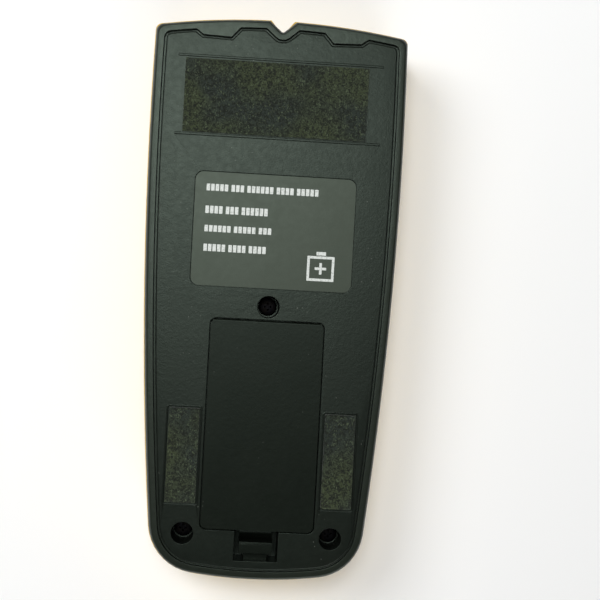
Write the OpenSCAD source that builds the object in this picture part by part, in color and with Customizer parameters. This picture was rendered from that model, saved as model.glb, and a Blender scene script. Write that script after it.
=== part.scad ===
// Hand-held stud finder that lies on its front face.
// +Z points out of its back, +Y towards the marking notch, and z = 0 is the front face.

/* [Case] */
// Width of the dark rear frame at its widest
frame_w = 75; // [74:0.2:78]
// Length of the rear frame from the crown to the lower end
frame_len = 164.8; // [164:0.2:168]
// Height of the back plate above the front face
back_z = 30; // [30:0.1:33]
// Thickness of the front wall and of the side walls
wall = 2.2; // [1.9:0.1:2.4]

/* [Marking notch] */
// Width of the notch at the crown
notch_w = 7.6; // [6:0.2:9]
// Depth of the notch
notch_depth = 3.2; // [2.4:0.1:3.6]

/* [Battery door] */
// Width of the door
door_w = 33.1; // [32.5:0.1:34]
// Length of the door
door_len = 61.6; // [61.2:0.1:61.8]
// Thickness of the door
door_t = 1.8; // [1.5:0.1:1.9]

/* [Felt pads] */
// Width of the wide pad across the sensing end
wide_pad_w = 53.7; // [46:0.1:56]
// Length of the wide pad along the case
wide_pad_len = 21.4; // [18:0.1:21.6]
// Width of each side pad
side_pad_w = 9; // [7:0.1:9.4]
// Length of each side pad
side_pad_len = 27.8; // [20:0.1:30]
// Height of the felt above the back plate
pad_proud = 0.7; // [0.5:0.1:1.2]

/* [Label] */
// Width of the label plate
label_w = 47; // [40:0.5:52]
// Length of the label plate
label_len = 33.2; // [28:0.2:34]

/* [Screws] */
// Diameter of the three wells in the back
well_d = 6.5; // [6:0.1:6.8]
// Diameter of the case screw's head
screw_head_d = 5.4; // [4.6:0.1:5.6]

/* [Display] */
// Width of the part of the display that is seen
view_w = 43; // [38:0.5:44]
// Length of the part of the display that is seen
view_len = 33; // [28:0.5:34]

/* [Keys] */
// Diameter of each key
key_d = 12.6; // [10:0.2:13]
// Travel of each key
key_travel = 0.4; // [0.3:0.05:0.5]
// Distance between neighbouring keys
key_pitch = 19; // [18:0.5:20]

/* [Battery] */
// Width of the 9 V battery
battery_w = 26.2; // [24.5:0.1:26.5]
// Length of the battery's body
battery_len = 46.4; // [45:0.1:46.6]
// Thickness of the battery
battery_t = 17.2; // [15.5:0.1:17.5]

/* [Hidden] */
$fn = 48;

// colours
dark = [0.22, 0.24, 0.22];
darker = [0.12, 0.13, 0.12];
yellow = [0.93, 0.72, 0.08];
felt = [0.24, 0.25, 0.19];
white = [0.9, 0.9, 0.88];
steel = [0.72, 0.73, 0.75];
copper = [0.78, 0.45, 0.25];
green = [0.1, 0.4, 0.22];

// small distances that many pieces share
eps = 0.01;
gap = 0.3;
skin = 1.2;

// outline of the rear frame: two side arcs, an end arc, a crown arc and the corners
side_r = 1203;
end_r = 138;
crown_r = 215;
low_corner_r = 15;
top_corner_r = 2;
widest_y = 49.2;
side_c = [frame_w / 2 - side_r, widest_y];
end_c = [0, end_r - frame_len / 2];
crown_c = [0, frame_len / 2 - crown_r];
notch_y = frame_len / 2 - notch_depth;
notch_tip_r = 0.4;
flank = atan2(notch_depth, notch_w / 2);
flank_spread = (1 / cos(flank) - 1) / tan(flank);

// the front shell stands a little proud of the rear frame, more at the ends than at the sides
proud_x = 0.35;
proud_y = 0.85;
joint_z = back_z - 6;
tongue_h = 2.5;

// parting groove between the rear frame and the rear cover
groove_in = 3.1;
groove_w = 0.7;
ledge_in = 1.2;
plate_t = 2;
plate_z = back_z - plate_t;
rim_drop = 0.3;
zig_out_x = 25.3;
zig_dip_out = [23.3, notch_y - 2.9];
zig_dip_in = [14.8, notch_y - 3.2];
zig_in_x = 12.2;

// battery door, its bay and its latch
door_top_y = -5.85;
door_end_y = door_top_y - door_len;
door_z = back_z - door_t;
door_corner_r = 1.9;
bay_w = 28.5;
bay_top_y = -8.3;
bay_end_y = -64.3;
bay_floor_z = 10;
tab_x = 10.5;
tab_w = 4;
strip_t = 1.1;
door_edge_r = 0.5;
tab_z = [back_z - 3.6, back_z - 2.3];
tab_reach = 1.8;
latch_w = 9.8;
recess_w = 12.9;
recess_end_y = -76.5;
pocket_end_y = -77.05;
pocket_wall = 0.4;
pocket_floor_z = back_z - 11.4;
finger_y = -74.3;
finger_z = [back_z - 2.6, back_z - 0.8];
nib_x = 3.5;
nib_y = -76.85;
nib_z = [back_z - 3.6, back_z - 2.5];
lead_window_x = [7, 13];
lead_window_z = [17, 21.5];
bend_gap = 0.12;
leg_y = door_end_y + 0.25;
bend_r = 2.5;
bend_y = leg_y + strip_t / 2 - bend_r;
bend_z = back_z - 7.5;
outer_leg_y = bend_y - bend_r;

// screws and posts
top_screw = [0, -1.8];
low_screw = [21.7, -69];
case_screw_points = [top_screw, low_screw, [-low_screw[0], low_screw[1]]];
well_floor_z = 20;
well_wall = 1.15;
post_d = 7.2;
post_top_z = 18.4;
pilot_d = 2.9;
screw_head_h = 2;
screw_tip_z = 7;
screw_slot = [3, 0.7, 2.4];
board_screw_points = [for (x = [-27, 27], y = [-28, 69]) [x, y]];
sensor_screw_points = [for (x = [-26.5, 26.5], y = [46.2, 70.8]) [x, y]];
small_bore_d = 1.8;

// felt pads and label
wide_pad_c = [-1, 58.8];
side_pad_x = 22.85;
side_pad_y = -46.2;
pad_recess = 0.4;
pad_rim = 0.35;
rib_y = [47.5, 70.3];
rib_w = 60;
label_c = [0.3, 20.2];
label_t = 0.15;
label_recess = 0.25;

// display and front face
bezel_w = 54;
bezel_y = [16, 66];
bezel_sink = 0.15;
view_c = [0, 41];
glass = [48, 39];
carrier = [53, 44];
strip_y = 18.1;
strip_size = [44, 2];
lens_y = 68.7;
lens_d = 4.4;

// keys, from left to right as the back is seen
key_y = -16;
key_sink = 0.6;
key_flange = 1;
key_flange_z = [2.5, 3.1];

// circuit boards
board_z = 6.4;
board_t = 1.6;
board_top_z = board_z + board_t;
board_x = 30;
board_y = [-32, 73];
sensor_z = plate_z - 2.8;
sensor_t = 1.2;
sensor_x = 29;
sensor_y = [44, 73];
main_chip_c = [8, 24];
main_chip_w = 10;
amplifier_y = [17, 27, 37];
regulator_c = [-3, 10];
chip_h = 1.5;
can_y = [14, 24];
can_d = 5;
can_h = 7;
block_x = [-26, -22];
block_y = [22, 28, 34];
buzzer_c = [-19, 6];
buzzer_d = 12;
buzzer_h = 7;
buzzer_hole_d = 2;
sensor_plate_y = 58.5;
sensor_plate = [14, 22];
sensor_plate_pitch = 16;
coil_c = [0, 55];
coil_r = 17;
coil_h = 6;
core_r = 12;
pins_x = 23;
pins_y = 57;
pin_pitch = 2.54;

// battery
pad_t = 0.6;
foam = [20, 34];
foam_y = -42;
battery_z = bay_floor_z + pad_t;
battery_end_y = -64;
battery_top_y = battery_end_y + battery_len;
terminal_x = 6.35;
terminal_h = 2.4;
stud_d = 5.7;
socket_d = 7.8;
terminal_z = battery_z + battery_t / 2;
snap_w = 24.8;
snap_t = 12;
snap_y = [battery_top_y + 0.3, battery_top_y + 4.4];

// leads of the battery snap and of the coil, as points that the wires pass through
lead_r = 0.7;
red_route = [[2, snap_y[1], 22], [2.5, -11, 22], [5, -9.6, 21], [8.5, -8.6, 20], [8.8, -6.6, 19],
    [9.2, -3.6, 16], [9.5, -1, 12.5], [9.5, 2, 9.8], [9.5, 3, board_top_z]];
black_route = [[5, snap_y[1], 19], [5.5, -11, 19], [8.5, -9.8, 18.6], [11, -8.4, 18.4],
    [11.3, -6.4, 18], [12, -3.6, 15], [12.5, -1, 12], [12.5, 2, 9.8], [12.5, 3, board_top_z]];
coil_lead_r = 0.25;

// ---------- shapes that several pieces share ----------

// Point where the circle (a, ra) meets the circle (b, rb), the upper or the lower one
function meet(a, ra, b, rb, upper) =
    let (
        d = norm(b - a),
        u = (b - a) / d,
        k = (ra * ra - rb * rb + d * d) / (2 * d),
        side = sqrt(ra * ra - k * k) * [-u[1], u[0]],
        p = a + k * u + side,
        q = a + k * u - side
    ) (p[1] > q[1]) == upper ? p : q;

function heading(v) = atan2(v[1], v[0]);

function arc(c, r, from, to, n) =
    [for (k = [0:n]) let (a = from + (to - from) * k / n) c + r * [cos(a), sin(a)]];

function crown_point(inset, x) = [x, crown_c[1] + sqrt(pow(crown_r - inset, 2) - x * x)];

function crown_run(inset, from, to, n) =
    [for (k = [0:n]) crown_point(inset, from + (to - from) * k / n)];

function notch_half(inset) = notch_w / 2 + flank_spread * inset;

function notch_bend(inset) =
    arc([0, notch_y + notch_tip_r], inset + notch_tip_r, flank - 90, -90, 3);

// Lower end, low corner and side of the right half, then its top corner
function half_body(inset_x, inset_y, low_r, top_r) =
    let (
        low_c = meet(side_c, side_r - inset_x - low_r, end_c, end_r - inset_y - low_r, false),
        top_c = meet(side_c, side_r - inset_x - top_r, crown_c, crown_r - inset_y - top_r, true),
        low_end = heading(low_c - end_c),
        low_side = heading(low_c - side_c),
        top_side = heading(top_c - side_c),
        top_crown = heading(top_c - crown_c),
        end_arc = arc(end_c, end_r - inset_y, -90, low_end, 6),
        low_arc = arc(low_c, low_r, low_end, low_side, 9),
        side_arc = arc(side_c, side_r - inset_x, low_side, top_side, 14),
        top_arc = arc(top_c, top_r, top_side, top_crown, 4)
    ) concat(end_arc, skip(low_arc), skip(side_arc), skip(top_arc));

function skip(list) = [for (k = [1:len(list) - 1]) list[k]];

function both_halves(half) =
    concat(half, [for (k = [len(half) - 2:-1:1]) [-half[k][0], half[k][1]]]);

// Outline of the case, moved inwards by the two insets
function case_outline(inset_x, inset_y) =
    let (
        half = half_body(inset_x, inset_y, max(low_corner_r - inset_x, 5),
            top_corner_r + max(inset_x, 0) / 2),
        corner_x = half[len(half) - 1][0],
        crown = skip(crown_run(inset_y, corner_x, notch_half(inset_y), 6))
    ) both_halves(concat(half, crown, notch_bend(max(inset_y, 0))));

// Middle of the parting groove, with its two dips at the crown
function groove_outline() =
    let (
        half = half_body(groove_in, groove_in, low_corner_r - groove_in, 1.7),
        corner_x = half[len(half) - 1][0],
        outer = skip(crown_run(groove_in, corner_x, zig_out_x, 2)),
        inner = crown_run(groove_in, zig_in_x, notch_half(groove_in), 2)
    ) both_halves(concat(half, outer, [zig_dip_out, zig_dip_in], inner, notch_bend(groove_in)));

// A closed outline moved inwards by d with mitred corners
function inset_points(pts, d) =
    let (n = len(pts))
    [for (k = [0:n - 1])
        let (
            before = pts[k] - pts[(k + n - 1) % n],
            after = pts[(k + 1) % n] - pts[k],
            n0 = [-before[1], before[0]] / norm(before),
            n1 = [-after[1], after[0]] / norm(after)
        ) pts[k] + d * (n0 + n1) / (1 + n0 * n1)];

// Closed solid through rings of [height, outline], from the lowest to the highest
module loft(rings) {
    n = len(rings[0][1]);
    last = len(rings) - 1;
    polyhedron(
        points = [for (ring = rings, p = ring[1]) [p[0], p[1], ring[0]]],
        faces = concat(
            [[for (k = [0:n - 1]) k]],
            [[for (k = [n - 1:-1:0]) last * n + k]],
            [for (r = [0:last - 1], k = [0:n - 1])
                [r * n + k, (r + 1) * n + k, (r + 1) * n + (k + 1) % n, r * n + (k + 1) % n]]));
}

// Smooth run through hand-set points, with n steps between neighbours
function smooth(path, n) =
    let (last = len(path) - 1)
    concat([for (k = [0:last - 1], s = [0:n - 1])
        let (
            t = s / n,
            a = path[max(k - 1, 0)],
            b = path[k],
            c = path[k + 1],
            d = path[min(k + 2, last)]
        ) b + (c - a) * t / 2 + (2 * a - 5 * b + 4 * c - d) * t * t / 2
            + (3 * b - a - 3 * c + d) * t * t * t / 2], [path[last]]);

// Round wire of radius r along a path that never runs along X
module wire(path, r) {
    sides = 8;
    last = len(path) - 1;
    rings = [for (k = [0:last])
        let (
            along = path[min(k + 1, last)] - path[max(k - 1, 0)],
            t = k == 0 ? [0, 1, 0] : k == last ? [0, 0, -1] : along / norm(along),
            u0 = cross([1, 0, 0], t),
            u = u0 / norm(u0),
            v = cross(t, u)
        ) [for (s = [0:sides - 1]) path[k] + r * (cos(s * 45) * u + sin(s * 45) * v)]];
    polyhedron(
        points = [for (ring = rings, p = ring) p],
        faces = concat(
            [[for (s = [0:sides - 1]) s]],
            [[for (s = [sides - 1:-1:0]) last * sides + s]],
            [for (k = [0:last - 1], s = [0:sides - 1])
                let (next = (s + 1) % sides)
                [k * sides + s, (k + 1) * sides + s, (k + 1) * sides + next, k * sides + next]]));
}

// Box between two corners
module box(low, high) {
    translate(low) cube(high - low);
}

// Rectangle with true round corners, centred
module rounded(w, l, r) {
    square([w - 2 * r, l], center = true);
    square([w, l - 2 * r], center = true);
    for (x = [-1, 1], y = [-1, 1]) {
        translate([x * (w / 2 - r), y * (l / 2 - r)]) circle(r);
    }
}

// Plate with round corners, centred on c, from z0 to z1
module plate(c, w, l, r, z0, z1) {
    translate([c[0], c[1], z0]) linear_extrude(z1 - z0) rounded(w, l, r);
}

// Upright cylinder on p, from z0 to z1
module rod(p, d, z0, z1) {
    translate([p[0], p[1], z0]) cylinder(d = d, h = z1 - z0);
}

// ---------- case ----------

module front_shell() {
    color(yellow) difference() {
        union() {
            difference() {
                loft(front_rings());
                loft(front_hollow());
            }
            for (p = case_screw_points) rod(p, post_d, wall / 2, post_top_z);
            for (p = board_screw_points) rod(p, 4.8, wall / 2, board_z);
        }
        for (p = case_screw_points) rod(p, pilot_d, 5, post_top_z + eps);
        for (p = board_screw_points) rod(p, small_bore_d, 3, board_z + eps);
        plate([0, (bezel_y[0] + bezel_y[1]) / 2], bezel_w, bezel_y[1] - bezel_y[0], 5, -1, wall + 1);
        for (k = [-1:1]) rod([k * key_pitch, key_y], key_d + 2 * gap, -1, wall + 1);
        rod([0, lens_y], lens_d + 0.2, -1, wall + 1);
    }
}

// Front shell's outside: a flat face whose edge curves up into the side walls
function front_rings() =
    [for (ring = [[0, 7.5], [0.5, 5.2], [1.6, 3.2], [3.6, 1.6], [7, 0.6], [12, 0.15], [joint_z, 0]])
        [ring[0], case_outline(ring[1] - proud_x, ring[1] - proud_y)]];

function front_hollow() =
    [for (ring = [[wall, 8.6], [wall + 1.2, 5.6], [6.4, 3.2], [12, wall + 0.15], [joint_z + eps, wall]])
        [ring[0], case_outline(ring[1] - proud_x, ring[1] - proud_y)]];

module rear_frame() {
    groove = groove_outline();
    color(dark) difference() {
        union() {
            loft([for (ring = [[0, 0], [2.8, 0.05], [4.4, 0.3], [5.2, 0.65], [5.6, 1.0], [5.7, 1.25]])
                [joint_z + ring[0], case_outline(ring[1], ring[1])]]);
            translate([0, 0, joint_z - tongue_h])
                linear_extrude(tongue_h + 1)
                    polygon(case_outline(wall - proud_x + 0.15, wall - proud_y + 0.15));
        }
        translate([0, 0, joint_z - tongue_h - 1])
            linear_extrude(tongue_h + 3.6)
                polygon(case_outline(wall + 1.2, wall + 1.2));
        translate([0, 0, joint_z])
            linear_extrude(2 * plate_t + 4)
                polygon(inset_points(groove, groove_w / 2 + ledge_in));
        translate([0, 0, plate_z])
            linear_extrude(plate_t + 1)
                polygon(inset_points(groove, -groove_w / 2));
    }
}

module rear_cover() {
    groove = groove_outline();
    color(dark) difference() {
        union() {
            loft([for (ring = [[0, 0], [1.5, 0], [1.85, 0.15], [plate_t, 0.45]])
                [plate_z + ring[0], inset_points(groove, groove_w / 2 + ring[1])]]);
            cover_ribs();
            cover_inside();
        }
        cover_openings();
        cover_recesses();
    }
}

// Thin moulded lines round the felt pads
module cover_ribs() {
    for (y = rib_y) box([-rib_w / 2, y - 0.3, back_z - eps], [rib_w / 2, y + 0.3, back_z + 0.3]);
    for (x = [-side_pad_x, side_pad_x]) {
        plate([x, side_pad_y], side_pad_w + 4 * pad_rim, side_pad_len + 4 * pad_rim, 0.9,
            back_z - eps, back_z + 0.2);
    }
}

// Bay, door ledge, screw wells, latch pocket and board posts under the plate
module cover_inside() {
    box([-bay_w / 2 - skin, bay_end_y - skin, bay_floor_z - skin],
        [bay_w / 2 + skin, bay_top_y + skin, plate_z + eps]);
    box([-door_w / 2 - 1.6, door_end_y - 1.6, plate_z - skin],
        [door_w / 2 + 1.6, door_top_y + 1.6, plate_z + eps]);
    for (p = case_screw_points) rod(p, well_d + 2 * well_wall, post_top_z, plate_z + eps);
    box([-recess_w / 2 - skin, pocket_end_y - pocket_wall, pocket_floor_z - 1],
        [recess_w / 2 + skin, bay_end_y - eps, plate_z + eps]);
    for (p = sensor_screw_points) rod(p, 4.4, sensor_z + sensor_t, plate_z + eps);
}

module cover_openings() {
    box([-bay_w / 2, bay_end_y, bay_floor_z], [bay_w / 2, bay_top_y, back_z + 1]);
    plate([0, (door_top_y + door_end_y) / 2], door_w + 2 * gap, door_len + 2 * gap,
        door_corner_r, plate_z, back_z + 1);
    for (p = case_screw_points) {
        rod(p, well_d, well_floor_z, back_z + 1);
        rod(p, pilot_d + 0.5, post_top_z - 1, back_z);
    }
    box([-recess_w / 2, pocket_end_y, pocket_floor_z],
        [recess_w / 2, bay_end_y - skin, plate_z]);
    box([-recess_w / 2, recess_end_y, plate_z - 1], [recess_w / 2, door_end_y + 1, back_z + 1]);
    for (x = [-tab_x, tab_x]) {
        box([x - tab_w / 2 - 0.4, bay_top_y - 1, tab_z[0] - 1],
            [x + tab_w / 2 + 0.4, door_top_y + tab_reach + 0.8, plate_z]);
    }
    box([lead_window_x[0], bay_top_y - 1, lead_window_z[0]],
        [lead_window_x[1], bay_top_y + skin + 1, lead_window_z[1]]);
    for (p = sensor_screw_points) rod(p, small_bore_d, sensor_z, plate_z);
}

module cover_recesses() {
    for (x = [-side_pad_x, side_pad_x]) {
        plate([x, side_pad_y], side_pad_w + 2 * pad_rim, side_pad_len + 2 * pad_rim, 0.6,
            back_z - pad_recess, back_z + 1);
    }
    plate(label_c, label_w + 0.3, label_len + 0.3, 2.5, back_z - label_recess, back_z + 1);
}

module battery_door() {
    color(darker) {
        difference() {
            plate([0, (door_top_y + door_end_y) / 2], door_w, door_len, door_corner_r,
                door_z, back_z);
            door_edge();
        }
        for (x = [-tab_x, tab_x]) {
            box([x - tab_w / 2, door_top_y - 1.5, tab_z[0]],
                [x + tab_w / 2, door_top_y - gap, door_z + eps]);
            box([x - tab_w / 2, door_top_y - 1.5, tab_z[0]],
                [x + tab_w / 2, door_top_y + tab_reach, tab_z[1]]);
        }
        box([-latch_w / 2, leg_y, bend_z], [latch_w / 2, leg_y + strip_t, door_z + eps]);
        intersection() {
            latch_bend();
            box([-latch_w, bend_y + bend_gap, bend_z - 10], [latch_w, bend_y + 10, bend_z]);
        }
    }
}

// What is cut off the door's upper edge, so that the door rocks open on a round edge
module door_edge() {
    edge = [door_top_y - door_edge_r, back_z - door_edge_r];
    difference() {
        box([-door_w, edge[0], edge[1]], [door_w, door_top_y + 1, back_z + 1]);
        translate([-door_w, edge[0], edge[1]])
            rotate([0, 90, 0]) cylinder(r = door_edge_r, h = 2 * door_w);
    }
}

// Half ring that joins the latch's two legs
module latch_bend() {
    translate([-latch_w / 2, bend_y, bend_z])
        rotate([90, 0, 90])
            linear_extrude(latch_w)
                difference() {
                    circle(bend_r + strip_t / 2);
                    circle(bend_r - strip_t / 2);
                }
}

module door_latch() {
    color(darker) {
        intersection() {
            latch_bend();
            box([-latch_w, bend_y - 10, bend_z - 10], [latch_w, bend_y - bend_gap, bend_z]);
        }
        box([-latch_w / 2, outer_leg_y - strip_t / 2, bend_z],
            [latch_w / 2, outer_leg_y + strip_t / 2, back_z - 1.4]);
        box([-latch_w / 2, finger_y, finger_z[0]], [latch_w / 2, outer_leg_y, finger_z[1]]);
        box([-nib_x, nib_y, nib_z[0]], [nib_x, outer_leg_y, nib_z[1]]);
    }
}

module case_screws() {
    color(steel) for (p = case_screw_points) {
        difference() {
            union() {
                rod(p, screw_head_d, well_floor_z, well_floor_z + screw_head_h);
                rod(p, pilot_d - 0.1, screw_tip_z, well_floor_z + eps);
            }
            for (turn = [0, 90]) {
                translate([p[0], p[1], well_floor_z + screw_head_h])
                    rotate(turn) cube(screw_slot, center = true);
            }
        }
    }
}

// ---------- felt and label ----------

module wide_felt_pad() {
    color(felt) plate(wide_pad_c, wide_pad_w, wide_pad_len, 0.8, back_z, back_z + pad_proud);
}

module side_felt_pad(side) {
    color(felt) plate([side * side_pad_x, side_pad_y], side_pad_w, side_pad_len, 0.5,
        back_z - pad_recess, back_z + pad_proud);
}

module left_felt_pad() {
    side_felt_pad(-1);
}

module right_felt_pad() {
    side_felt_pad(1);
}

module rating_label() {
    color(darker) plate(label_c, label_w, label_len, 2.4,
        back_z - label_recess, back_z - label_recess + label_t);
}

// ---------- display ----------

module window_bezel() {
    w = bezel_w - 0.2;
    l = bezel_y[1] - bezel_y[0] - 0.2;
    color(darker) difference() {
        plate(view_c, w, l, 4.9, bezel_sink, wall);
        plate(view_c, view_w, view_len, 2, -1, wall + 1);
        plate(view_c, view_w + 4, view_len + 4, 3, 1, wall + 1);
    }
}

module display_window() {
    color([0.7, 0.8, 0.8, 0.5]) {
        plate(view_c, view_w - 0.2, view_len - 0.2, 1.9, bezel_sink + 0.15, 1 + eps);
        plate(view_c, view_w + 3.8, view_len + 3.8, 2.9, 1, wall - 0.1);
    }
}

module lcd_panel() {
    color([0.6, 0.68, 0.58]) {
        plate(view_c, glass[0], glass[1], 0.3, 2.9, 4);
        plate(view_c, glass[0], glass[1] - 5, 0.3, 4, 5.1);
    }
}

module lcd_frame() {
    color(white) difference() {
        plate(view_c, carrier[0], carrier[1], 1.5, 2.7, board_z);
        plate(view_c, glass[0] + 0.2, glass[1] + 0.2, 0.4, 2, 5.2);
        plate(view_c, 45, 29.4, 0.4, 5, board_z + 1);
        for (s = [-1, 1]) {
            plate([0, view_c[1] + s * strip_y], strip_size[0] + 0.2, strip_size[1] + 0.2, 0.2,
                3.9, board_z + 1);
        }
    }
}

module backlight() {
    color([0.85, 0.95, 0.75]) plate(view_c, 44.8, 29.2, 0.3, 5.25, board_z);
}

module contact_strips() {
    color([0.85, 0.6, 0.65]) for (s = [-1, 1]) {
        plate([0, view_c[1] + s * strip_y], strip_size[0], strip_size[1], 0.2, 4, board_z);
    }
}

module signal_lens() {
    color([0.85, 0.1, 0.08]) {
        rod([0, lens_y], lens_d, 0.25, 2.5);
        rod([0, lens_y], lens_d + 1, wall, 2.8);
    }
}

module signal_led() {
    color([0.9, 0.3, 0.2]) {
        rod([0, lens_y], 3, 4.6, board_z);
        translate([0, lens_y, 4.6]) intersection() {
            sphere(d = 3);
            translate([0, 0, -1.5]) cube([4, 4, 3.02], center = true);
        }
    }
}

// ---------- keys ----------

module key(side) {
    p = [side * key_pitch, key_y];
    color(darker) {
        rod(p, key_d, key_sink, key_flange_z[1]);
        rod(p, key_d + 2 * key_flange, key_flange_z[0], key_flange_z[1]);
    }
}

module key_stud() {
    key(-1);
}

module key_metal() {
    key(0);
}

module key_wire() {
    key(1);
}

module key_switches() {
    color(steel) for (k = [-1:1]) {
        p = [k * key_pitch, key_y];
        plate(p, 6, 6, 0.5, 4.2, board_z);
        rod(p, 3.2, key_flange_z[1] + key_travel + 0.2, 4.3);
    }
}

// ---------- circuit boards ----------

module main_board() {
    color(green) difference() {
        plate([0, (board_y[0] + board_y[1]) / 2], 2 * board_x, board_y[1] - board_y[0], 2,
            board_z, board_top_z);
        rod(top_screw, post_d + 0.6, board_z - 1, board_top_z + 1);
        for (p = board_screw_points) rod(p, small_bore_d + 0.2, board_z - 1, board_top_z + 1);
    }
}

module control_chips() {
    color([0.1, 0.1, 0.11]) {
        plate(main_chip_c, main_chip_w, main_chip_w, 0.3, board_top_z, board_top_z + chip_h);
        for (y = amplifier_y) plate([-14, y], 4, 5, 0.2, board_top_z, board_top_z + chip_h);
        plate(regulator_c, 3, 5, 0.2, board_top_z, board_top_z + 1.2);
    }
}

module board_capacitors() {
    color([0.15, 0.2, 0.45]) {
        for (y = can_y) rod([23, y], can_d, board_top_z, board_top_z + can_h);
        for (x = block_x, y = block_y) plate([x, y], 1.6, 3, 0.2, board_top_z, board_top_z + 1);
    }
}

module buzzer() {
    color(darker) difference() {
        rod(buzzer_c, buzzer_d, board_top_z, board_top_z + buzzer_h);
        rod(buzzer_c, buzzer_hole_d, board_top_z + 4, board_top_z + buzzer_h + 1);
    }
}

module sensor_board() {
    color(green) difference() {
        plate([0, (sensor_y[0] + sensor_y[1]) / 2], 2 * sensor_x, sensor_y[1] - sensor_y[0], 1.5,
            sensor_z, sensor_z + sensor_t);
        for (p = sensor_screw_points) {
            rod(p, small_bore_d + 0.2, sensor_z - 1, sensor_z + sensor_t + 1);
        }
    }
}

module sensor_plates() {
    color(copper) for (k = [-1:1]) {
        plate([k * sensor_plate_pitch, sensor_plate_y], sensor_plate[0], sensor_plate[1], 1,
            sensor_z + sensor_t, sensor_z + sensor_t + 0.1);
    }
}

module coil_bobbin() {
    color(white) translate([coil_c[0], coil_c[1], sensor_z - coil_h]) difference() {
        union() {
            cylinder(r = coil_r, h = 1);
            cylinder(r = core_r, h = coil_h);
            translate([0, 0, coil_h - 1]) cylinder(r = coil_r, h = 1);
        }
        translate([0, 0, -1]) cylinder(r = core_r - 1.5, h = coil_h + 2);
    }
}

module coil_winding() {
    color(copper) translate([coil_c[0], coil_c[1], sensor_z - coil_h + 1.05]) difference() {
        cylinder(r = coil_r - 1, h = coil_h - 2.1);
        translate([0, 0, -1]) cylinder(r = core_r + 0.05, h = coil_h);
    }
}

module coil_leads() {
    start_y = coil_c[1] - coil_r + 1;
    start_z = sensor_z - coil_h / 2;
    color(copper) for (x = [-1.5, 1.5]) {
        wire(smooth([[x, start_y, start_z], [x, start_y - 2.5, start_z - 1],
            [x, start_y - 3.5, start_z - 5], [x, start_y - 3.5, board_top_z + 3],
            [x, start_y - 3.5, board_top_z]], 3), coil_lead_r);
    }
}

module board_pins() {
    color(darker) for (z = [board_top_z, sensor_z - 2.5]) {
        plate([pins_x, pins_y], 2.5, 5 * pin_pitch, 0.2, z, z + 2.5);
    }
    color(steel) for (k = [-2:2]) {
        box([pins_x - 0.32, pins_y + k * pin_pitch - 0.32, board_top_z + 2],
            [pins_x + 0.32, pins_y + k * pin_pitch + 0.32, sensor_z - 2]);
    }
}

module board_screws() {
    color(steel) for (p = board_screw_points) {
        rod(p, 3.8, board_top_z, board_top_z + 1.2);
        rod(p, small_bore_d - 0.1, 3.6, board_top_z + eps);
    }
}

module sensor_screws() {
    color(steel) for (p = sensor_screw_points) {
        rod(p, 3.8, sensor_z - 1.2, sensor_z);
        rod(p, small_bore_d - 0.1, sensor_z - eps, plate_z - 0.2);
    }
}

// ---------- battery ----------

module battery() {
    color([0.2, 0.2, 0.22]) translate([0, battery_end_y, terminal_z])
        rotate([-90, 0, 0])
            linear_extrude(battery_len) rounded(battery_w, battery_t, 1.5);
}

// Small stud and large socket on the battery's end
module battery_terminals() {
    color(steel) {
        terminal(-terminal_x, stud_d, terminal_h);
        difference() {
            terminal(terminal_x, socket_d, terminal_h);
            terminal(terminal_x, stud_d + 0.1, terminal_h + 1);
        }
        terminal(terminal_x, socket_d - 1.4, 0.6);
    }
}

module terminal(x, d, h) {
    translate([x, battery_top_y, terminal_z]) rotate([-90, 0, 0]) cylinder(d = d, h = h);
}

module battery_snap() {
    color(darker) difference() {
        box([-snap_w / 2, snap_y[0], terminal_z - snap_t / 2],
            [snap_w / 2, snap_y[1], terminal_z + snap_t / 2]);
        for (x = [-terminal_x, terminal_x]) terminal(x, socket_d + 0.6, terminal_h + 0.4);
    }
}

module lead_red() {
    color([0.8, 0.08, 0.06]) wire(smooth(red_route, 3), lead_r);
}

module lead_black() {
    color([0.06, 0.06, 0.06]) wire(smooth(black_route, 3), lead_r);
}

module battery_pad() {
    color([0.3, 0.3, 0.32]) plate([0, foam_y], foam[0], foam[1], 1, bay_floor_z, battery_z);
}

front_shell();
rear_frame();
rear_cover();
battery_door();
door_latch();
wide_felt_pad();
left_felt_pad();
right_felt_pad();
rating_label();
case_screws();
window_bezel();
display_window();
lcd_panel();
lcd_frame();
backlight();
contact_strips();
key_stud();
key_metal();
key_wire();
key_switches();
signal_lens();
signal_led();
main_board();
control_chips();
board_capacitors();
buzzer();
sensor_board();
sensor_plates();
coil_bobbin();
coil_winding();
coil_leads();
board_pins();
board_screws();
sensor_screws();
battery();
battery_terminals();
battery_snap();
lead_red();
lead_black();
battery_pad();
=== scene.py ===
"""Looks of a hand-held stud finder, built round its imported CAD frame.

Each sub-assembly is a class with its own sizes, and each finish is a frozen dataclass.
All sizes are in metres, in the frame of the CAD model.
"""

import logging
import math
import random
from collections.abc import Callable, Iterator
from contextlib import contextmanager
from dataclasses import dataclass
from enum import Enum

import bmesh
import bpy
from mathutils import Matrix, Vector, noise


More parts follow.
